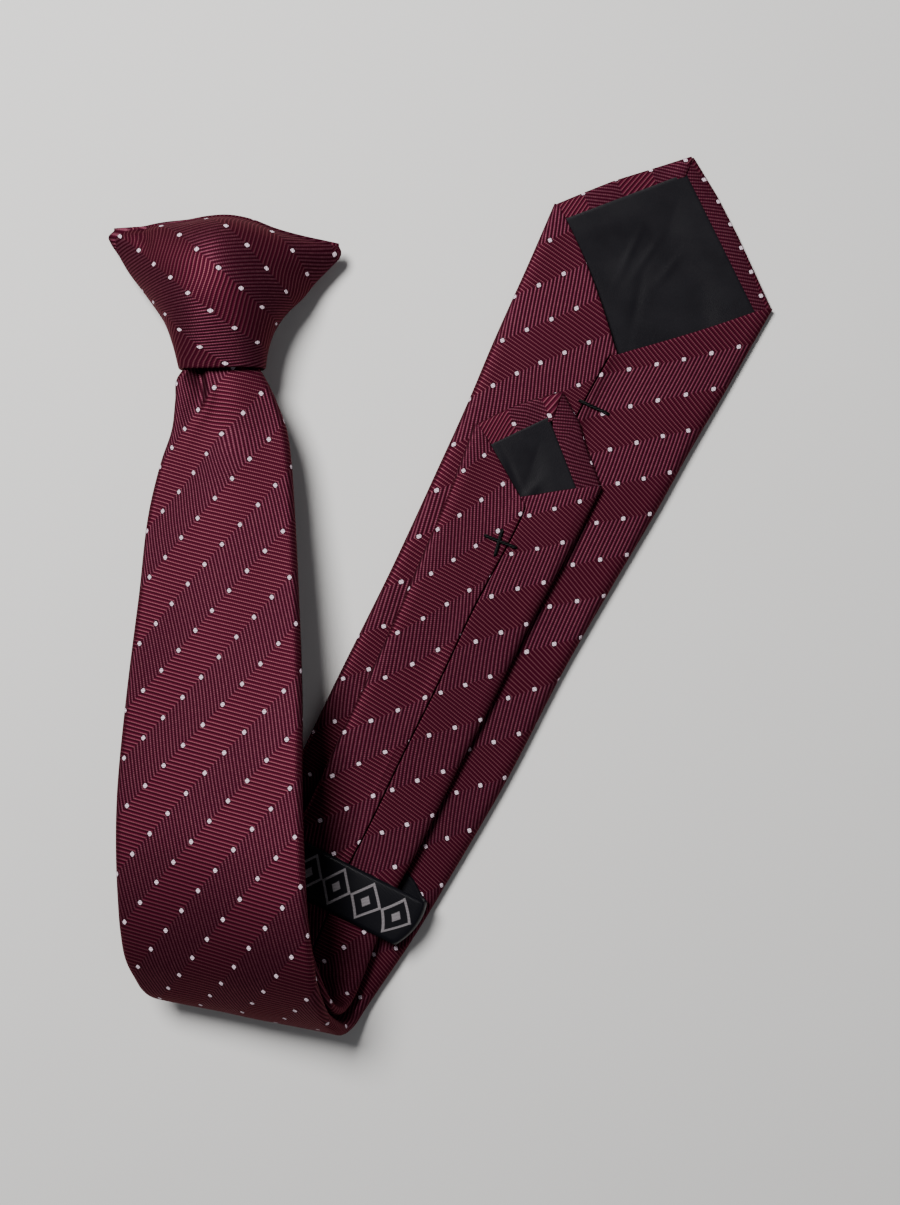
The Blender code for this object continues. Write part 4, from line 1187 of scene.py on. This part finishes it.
# the left wing is pressed down above y, over the width that follows it
WING_FOLD = (108.0, 8.0)
WING_CREASE = (-96.8, 117.0, 2.0, 1.7)  # x and y on its line, width and depth
WING_CREASE_LEAN = 0.25
WING_CORNER = (-97.0, 8.0, 0.6)  # x from which it falls, over how much, and how far
KNOT_MOUTH_LEVEL = 14.5  # height of the mouth's middle
KNOT_CORE = (-0.069, 0.012)  # x and height, in metres


def smooth_curve(table, at):
    """A two-column table read at any places by a smooth curve."""
    table = np.array(table, float)
    slopes = np.gradient(table[:, 1], table[:, 0])
    return smooth_rows(table[:, 1:], table[:, 0], slopes[:, None], np.asarray(at, float))[..., 0]


def knot_surface(share, place, front):
    """Points of the knot's outside, at arrays of shares and places."""
    left, right, crown, rim, across_power, up_power = (
        smooth_curve([(row[0], row[c]) for row in KNOT_RINGS], share) for c in range(1, 7)
    )
    spread = np.minimum(np.abs(place), 1.0)
    x = left + (right - left) * (place + 1) / 2
    top = smooth_curve(KNOT_TOP_EDGE, place) - KNOT_TOP_ROUNDING
    y = top + (smooth_curve(KNOT_MOUTH_EDGE, place) - top) * share
    dome = rim + (crown - rim) * np.maximum(0.0, 1 - spread**across_power) ** (1 / up_power)
    flat_back = rim + (KNOT_BACK - rim) * np.maximum(0.0, 1 - spread**6) ** 0.5
    z = np.where(front, dome, flat_back)
    return x, y, z


def knot_on_the_rows(flats, front_points, front_flats):
    """Flat places of the knot turned to the rows, by a smooth bend that puts the dots in place."""

    def bend_terms(places):
        x, y = places[..., 0] / 30, places[..., 1] / 30
        return np.stack([1 + 0 * x, x, y, x * x, x * y, y * y], axis=-1)

    held, wanted = [], []
    for row, first, dots in KNOT_DOTS:
        for number, dot in enumerate(dots, first):
            distance = np.linalg.norm(front_points[..., :2] - np.array(dot), axis=-1).reshape(-1)
            near = np.argsort(distance)[:4]
            share = 1 / (distance[near] + 0.01)
            held.append((front_flats.reshape(-1, 2)[near] * share[:, None]).sum(0) / share.sum())
            wanted.append((number * DOT_PITCH + row * BAND_WIDTH * ROW_LEAN, row * BAND_WIDTH))
    held = np.array(held)
    terms = np.linalg.lstsq(bend_terms(held), np.array(wanted), rcond=None)[0]
    inner = np.clip(flats, held.min(0), held.max(0))
    return bend_terms(inner) @ terms + turned(flats - inner, KNOT_ROWS_ANGLE)


def knot_outside():
    """The knot's outside as a grid from its back seam round the front, and its columns."""
    lapped = 1 + KNOT_SEAM_LAP
    quarter = np.linspace(0, math.pi / 2, KNOT_BACK_COLUMNS + 1)
    back_left = KNOT_SEAM_LAP - lapped * np.sin(quarter[:-1])
    front = -np.cos(np.linspace(0, math.pi, 2 * KNOT_HALF_TURN, endpoint=False))
    back_right = 1 - lapped * (1 - np.cos(quarter))
    place = np.concatenate([back_left, front, back_right])
    in_front = slice(len(back_left), len(back_left) + len(front) + 1)
    is_front = np.zeros(len(place), bool)
    is_front[in_front] = True
    share_grid, place_grid = np.meshgrid(KNOT_ROWS, place, indexing="ij")
    front_grid = np.tile(is_front, (len(KNOT_ROWS), 1))
    x, y, z = knot_surface(share_grid, place_grid, front_grid)
    # the left wing's corner is pressed down along a short crease, and the cloth is uneven
    in_wing = (y - WING_FOLD[0]) / WING_FOLD[1]
    crease_x, crease_y, width, depth = WING_CREASE
    from_crease = x - crease_x + WING_CREASE_LEAN * (y - crease_y)
    crease = depth * np.exp(-(from_crease / width) ** 2) * eased(in_wing)
    corner_x, over, drop = WING_CORNER
    corner = drop * np.clip((corner_x - x) / over, 0.0, 1.0) * np.clip(in_wing, 0.0, 1.0)
    waves = KNOT_WAVES * soft_waves(y, x, 5.0) * (1 - np.abs(place_grid) ** 6)
    z = z + np.where(front_grid, waves - crease - corner, 0.0)
    z[:, -5:] -= KNOT_SEAM_STEP  # the end of the cloth lies over its beginning at the back seam
    return np.dstack([x, y, z]), place, in_front


def knot_cap(points, place, in_front):
    """Rings that round the top edge over until the front and the back meet."""
    top = points[0]
    front_level = np.interp(place, place[in_front], top[in_front, 2])
    back_level = knot_surface(0 * place, place, np.zeros(len(place), bool))[2]
    meet = (front_level + back_level) / 2
    cap = []
    for part in np.linspace(math.pi / 2, 0.0, 7)[:-1]:
        ring = top.copy()
        ring[:, 2] = meet + (top[:, 2] - meet) * math.cos(part)
        ring[:, 1] += KNOT_TOP_ROUNDING * math.sin(part)
        cap.append(ring)
    return np.array(cap)


def knot_mouth(points):
    """Rings that turn the cloth in at the mouth, and go back up inside."""
    mouth = points[-1]
    inward = np.array([(KNOT_RINGS[-1][1] + KNOT_RINGS[-1][2]) / 2, 0.0, KNOT_MOUTH_LEVEL]) - mouth
    inward[:, 1] = 0.0
    inward = unit(inward)
    fold = []
    for i in range(1, 7):
        angle = math.pi * i / 6
        ring = mouth + inward * KNOT_MOUTH_FOLD * (1 - math.cos(angle))
        ring[:, 1] -= KNOT_MOUTH_FOLD * math.sin(angle)
        fold.append(ring)
    for back in (1.5, 3.0, 5.0, 7.0):
        ring = mouth + inward * 2 * KNOT_MOUTH_FOLD
        ring[:, 1] += back
        fold.append(ring)
    return np.array(fold)


def unrolled(grid, level, middle):
    """Flat places of a grid, measured from one of its rows and from one of its columns."""
    across, down = (
        np.insert(np.cumsum(np.linalg.norm(np.diff(grid, axis=axis), axis=-1), axis=axis), 0, 0.0, axis)
        for axis in (1, 0)
    )
    across = across - across[:, middle][:, None]
    down = down - down[level][None, :]
    return np.dstack([across, -down + (grid[level, :, 1] - grid[level, middle, 1])[None, :]])


def make_knot():
    points, place, in_front = knot_outside()
    cap = knot_cap(points, place, in_front)
    grid = np.concatenate([cap, points, knot_mouth(points)])
    half_way = int(np.argmin(np.abs(KNOT_ROWS - 0.5)))
    flats = unrolled(grid, len(cap) + half_way, in_front.start + KNOT_HALF_TURN)
    rows = slice(len(cap), len(cap) + len(points))
    laid = knot_on_the_rows(flats, grid[rows, in_front], flats[rows, in_front])

    def from_core(point):
        return (point.x - KNOT_CORE[0], 0.0, point.z - KNOT_CORE[1])

    piece = sewn_piece("knot_cloth", [(grid, laid)], cloth_material, from_core)
    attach(piece, "tie")
    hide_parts("knot")


make_knot()

# ---- The sewing ----------------------------------------------------------------------------
# Bar tacks of thick black-green thread hold the two centre seams together where their back
# panels part. The tail's tack has a second stitch across it.

TACK_STITCHES = (
    # the cloth that it lies on, and the stitch from end to end: x, y, x, y
    (blade, (41.2, 64.5, 50.9, 60.1)),
    (tail, (10.8, 21.4, 21.3, 17.3)),
    (tail, (16.6, 23.4, 14.2, 14.7)),
)
TACK_REACH = 0.62  # of the thread's middle line above the cloth
TACK_POINTS = 15
TACK_END_DROP = (1.15, 0.12)  # of the last point of a stitch into the cloth, and of the one before
STRANDS = 3
STRAND_STEP = 0.00022  # along a strand, in metres
ABOVE_ALL = 0.1  # a height above the whole tie, in metres


def twisted_thread_tree(material):
    """Geometry nodes: strands twisted round a curve."""
    tree = bpy.data.node_groups.new("twisted_thread", "GeometryNodeTree")
    tree.interface.new_socket("Geometry", in_out="INPUT", socket_type="NodeSocketGeometry")
    for name, value in (("Strand Radius", 0.00026), ("Strand Offset", 0.00030), ("Twist Length", 0.0034)):
        tree.interface.new_socket(name, in_out="INPUT", socket_type="NodeSocketFloat").default_value = value
    tree.interface.new_socket("Geometry", in_out="OUTPUT", socket_type="NodeSocketGeometry")
    given = tree.nodes.new("NodeGroupInput").outputs
    result = tree.nodes.new("NodeGroupOutput").inputs

    def node(kind, *values):
        made = tree.nodes.new(kind)
        for socket, value in zip(made.inputs, values):
            if value is not None:
                tree.links.new(value, socket)
        return made

    resample = node("GeometryNodeResampleCurve", given["Geometry"])
    resample.mode = "LENGTH"
    resample.inputs["Length"].default_value = STRAND_STEP
    length = node("GeometryNodeSplineParameter").outputs["Length"]
    turn = calc(tree, "MULTIPLY", calc(tree, "DIVIDE", length, given["Twist Length"]), 2 * math.pi)
    normal = node("GeometryNodeInputNormal").outputs[0]
    beside = node("ShaderNodeVectorMath", normal, node("GeometryNodeInputTangent").outputs[0])
    beside.operation = "CROSS_PRODUCT"
    circle = node("GeometryNodeCurvePrimitiveCircle")
    circle.inputs["Resolution"].default_value = 8
    tree.links.new(given["Strand Radius"], circle.inputs["Radius"])
    join = tree.nodes.new("GeometryNodeJoinGeometry")
    for strand in range(STRANDS):
        angle = calc(tree, "ADD", turn, 2 * math.pi * strand / STRANDS)
        parts = []
        for vector, function in ((normal, "COSINE"), (beside.outputs[0], "SINE")):
            scaled = tree.nodes.new("ShaderNodeVectorMath")
            scaled.operation = "SCALE"
            tree.links.new(vector, scaled.inputs[0])
            size = calc(tree, "MULTIPLY", calc(tree, function, angle), given["Strand Offset"])
            tree.links.new(size, scaled.inputs["Scale"])
            parts.append(scaled.outputs[0])
        aside = node("ShaderNodeVectorMath", *parts)
        aside.operation = "ADD"
        move = tree.nodes.new("GeometryNodeSetPosition")
        tree.links.new(resample.outputs[0], move.inputs["Geometry"])
        tree.links.new(aside.outputs[0], move.inputs["Offset"])
        tube = node("GeometryNodeCurveToMesh", move.outputs[0], circle.outputs[0])
        tube.inputs["Fill Caps"].default_value = True
        tree.links.new(tube.outputs[0], join.inputs[0])
    real = node("GeometryNodeRealizeInstances", join.outputs[0])
    paint = node("GeometryNodeSetMaterial", real.outputs[0])
    paint.inputs["Material"].default_value = material
    tree.links.new(paint.outputs[0], result["Geometry"])
    return tree


def thread_material():
    """Black-green sewing thread with a slight shine along its plies."""
    material, tree, shader = new_material("black_green_thread")
    place = tree.nodes.new("ShaderNodeTexCoord").outputs["Object"]
    fibre = noise_value(tree, place, scale=2600.0)
    colour = mix_colour(tree, fibre, (0.0010, 0.0018, 0.0019), (0.0045, 0.0068, 0.0072))
    tree.links.new(colour, shader.inputs["Base Color"])
    shader.inputs["Roughness"].default_value = 0.55
    shader.inputs["Specular IOR Level"].default_value = 0.15
    add_relief(tree, shader, fibre, strength=0.4, distance=0.00005)
    return material


def top_of(piece, x, y):
    """The highest point of a piece at a place in millimetres from the photographed middle."""
    start = Vector(((x - LAID_MIDDLE[0]) * MM, (y - LAID_MIDDLE[1]) * MM, ABOVE_ALL))
    return piece.ray_cast(start, Vector(DOWN))[1]


def new_curve(name):
    curve = bpy.data.curves.new(name, "CURVE")
    curve.dimensions = "3D"
    return curve


def add_line(curve, points):
    """A line of straight steps through points in metres."""
    spline = curve.splines.new("POLY")
    spline.points.add(len(points) - 1)
    spline.points.foreach_set("co", np.column_stack([points, np.ones(len(points))]).reshape(-1))


def made_solid(name, drawn):
    """A mesh object in place of a drawn curve, with what its modifiers make of it."""
    bpy.context.view_layer.update()
    evaluated = drawn.evaluated_get(bpy.context.evaluated_depsgraph_get())
    mesh = bpy.data.meshes.new_from_object(evaluated)
    bpy.data.objects.remove(drawn)
    mesh.name = name
    mesh.shade_smooth()
    piece = add_object(name, mesh)
    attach(piece, "tie")
    return piece


def make_tacks():
    lines = new_curve("tack_lines")
    shares = np.linspace(0.0, 1.0, TACK_POINTS)
    for piece, (x1, y1, x2, y2) in TACK_STITCHES:
        points = np.array([top_of(piece, x1 + (x2 - x1) * share, y1 + (y2 - y1) * share) for share in shares])
        level = np.interp(shares, (0.0, 1.0), (points[0, 2], points[-1, 2]))
        points[:, 2] = np.maximum(points[:, 2], level) + TACK_REACH * MM
        points[(0, -1), 2] -= TACK_END_DROP[0] * MM
        points[(1, -2), 2] -= TACK_END_DROP[1] * MM
        add_line(lines, points)
    drawn = add_object("tack_lines", lines)
    modifier = drawn.modifiers.new("twist", "NODES")
    modifier.node_group = twisted_thread_tree(thread_material())
    for socket in modifier.node_group.interface.items_tree:
        if socket.in_out == "INPUT" and socket.socket_type == "NodeSocketFloat":
            modifier[socket.identifier] = socket.default_value
    made_solid("bar_tacks", drawn)


make_tacks()

# ---- The clip ------------------------------------------------------------------------------
# Bright sheet steel under the knot: a plate with two ears, a pin, and a jaw that two small
# coil springs on the pin press against the plate. The steel pieces are the solids themselves.

PIN_PLACE = (-71.5, 106.0, 3.6)
SPRING_SIDE = 16.15  # of each coil from the middle of the pin
SPRING_WIRE = 0.16
SPRING_RADIUS = 1.28
SPRING_TURNS = 2.5
SPRING_STEPS = 41
SPRING_HALF = 0.35  # of the coil's length on the pin
SPRING_LEG = 7.5
SPRING_LEG_ENDS = (-0.9, 2.0)  # their heights from the pin
SPRING_BEND = 1.5  # where a leg leaves the coil


def steel_material():
    material, tree, shader = new_material("bright_steel")
    place = tree.nodes.new("ShaderNodeTexCoord").outputs["Object"]
    stretch = tree.nodes.new("ShaderNodeVectorMath")
    stretch.operation = "MULTIPLY"
    stretch.inputs[1].default_value = (0.06, 1.0, 1.0)
    tree.links.new(place, stretch.inputs[0])
    brushed = noise_value(tree, stretch.outputs[0], scale=5200.0)
    colour = mix_colour(tree, brushed, (0.50, 0.51, 0.53), (0.60, 0.61, 0.63))
    tree.links.new(colour, shader.inputs["Base Color"])
    tree.links.new(spread_value(tree, brushed, 0.3, 0.7, 0.24, 0.36), shader.inputs["Roughness"])
    shader.inputs["Metallic"].default_value = 1.0
    return material


def make_spring(name, side, material):
    """A small torsion spring: a coil on the pin, and both legs towards the clip's mouth."""
    low_end, high_end = SPRING_LEG_ENDS
    points = [(-SPRING_LEG, low_end, -SPRING_HALF), (-SPRING_BEND, -SPRING_RADIUS, -SPRING_HALF)]
    for share in np.linspace(0.0, 1.0, SPRING_STEPS):
        angle = -math.pi / 2 + 2 * math.pi * SPRING_TURNS * share
        ahead, up = SPRING_RADIUS * math.cos(angle), SPRING_RADIUS * math.sin(angle)
        points.append((ahead, up, SPRING_HALF * (2 * share - 1)))
    points += [(-SPRING_BEND, SPRING_RADIUS, SPRING_HALF), (-SPRING_LEG, high_end, SPRING_HALF)]
    wire = new_curve(name)
    wire.bevel_depth = SPRING_WIRE * MM
    wire.bevel_resolution = 2
    wire.use_fill_caps = True
    middle = np.array(PIN_PLACE) + np.array([side * SPRING_SIDE, 0.0, 0.0]) - LAID_MIDDLE
    add_line(wire, [(middle + np.array([across, ahead, up])) * MM for ahead, up, across in points])
    piece = made_solid(name, add_object(name, wire))
    piece.data.materials.clear()
    piece.data.materials.append(material)


steel = steel_material()
for node in ("clip_plate", "clip_pin", "clip_jaw"):
    for material_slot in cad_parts[node].material_slots:
        material_slot.material = steel
for spring_name, spring_side in (("left_spring", -1), ("right_spring", 1)):
    make_spring(spring_name, spring_side, steel)
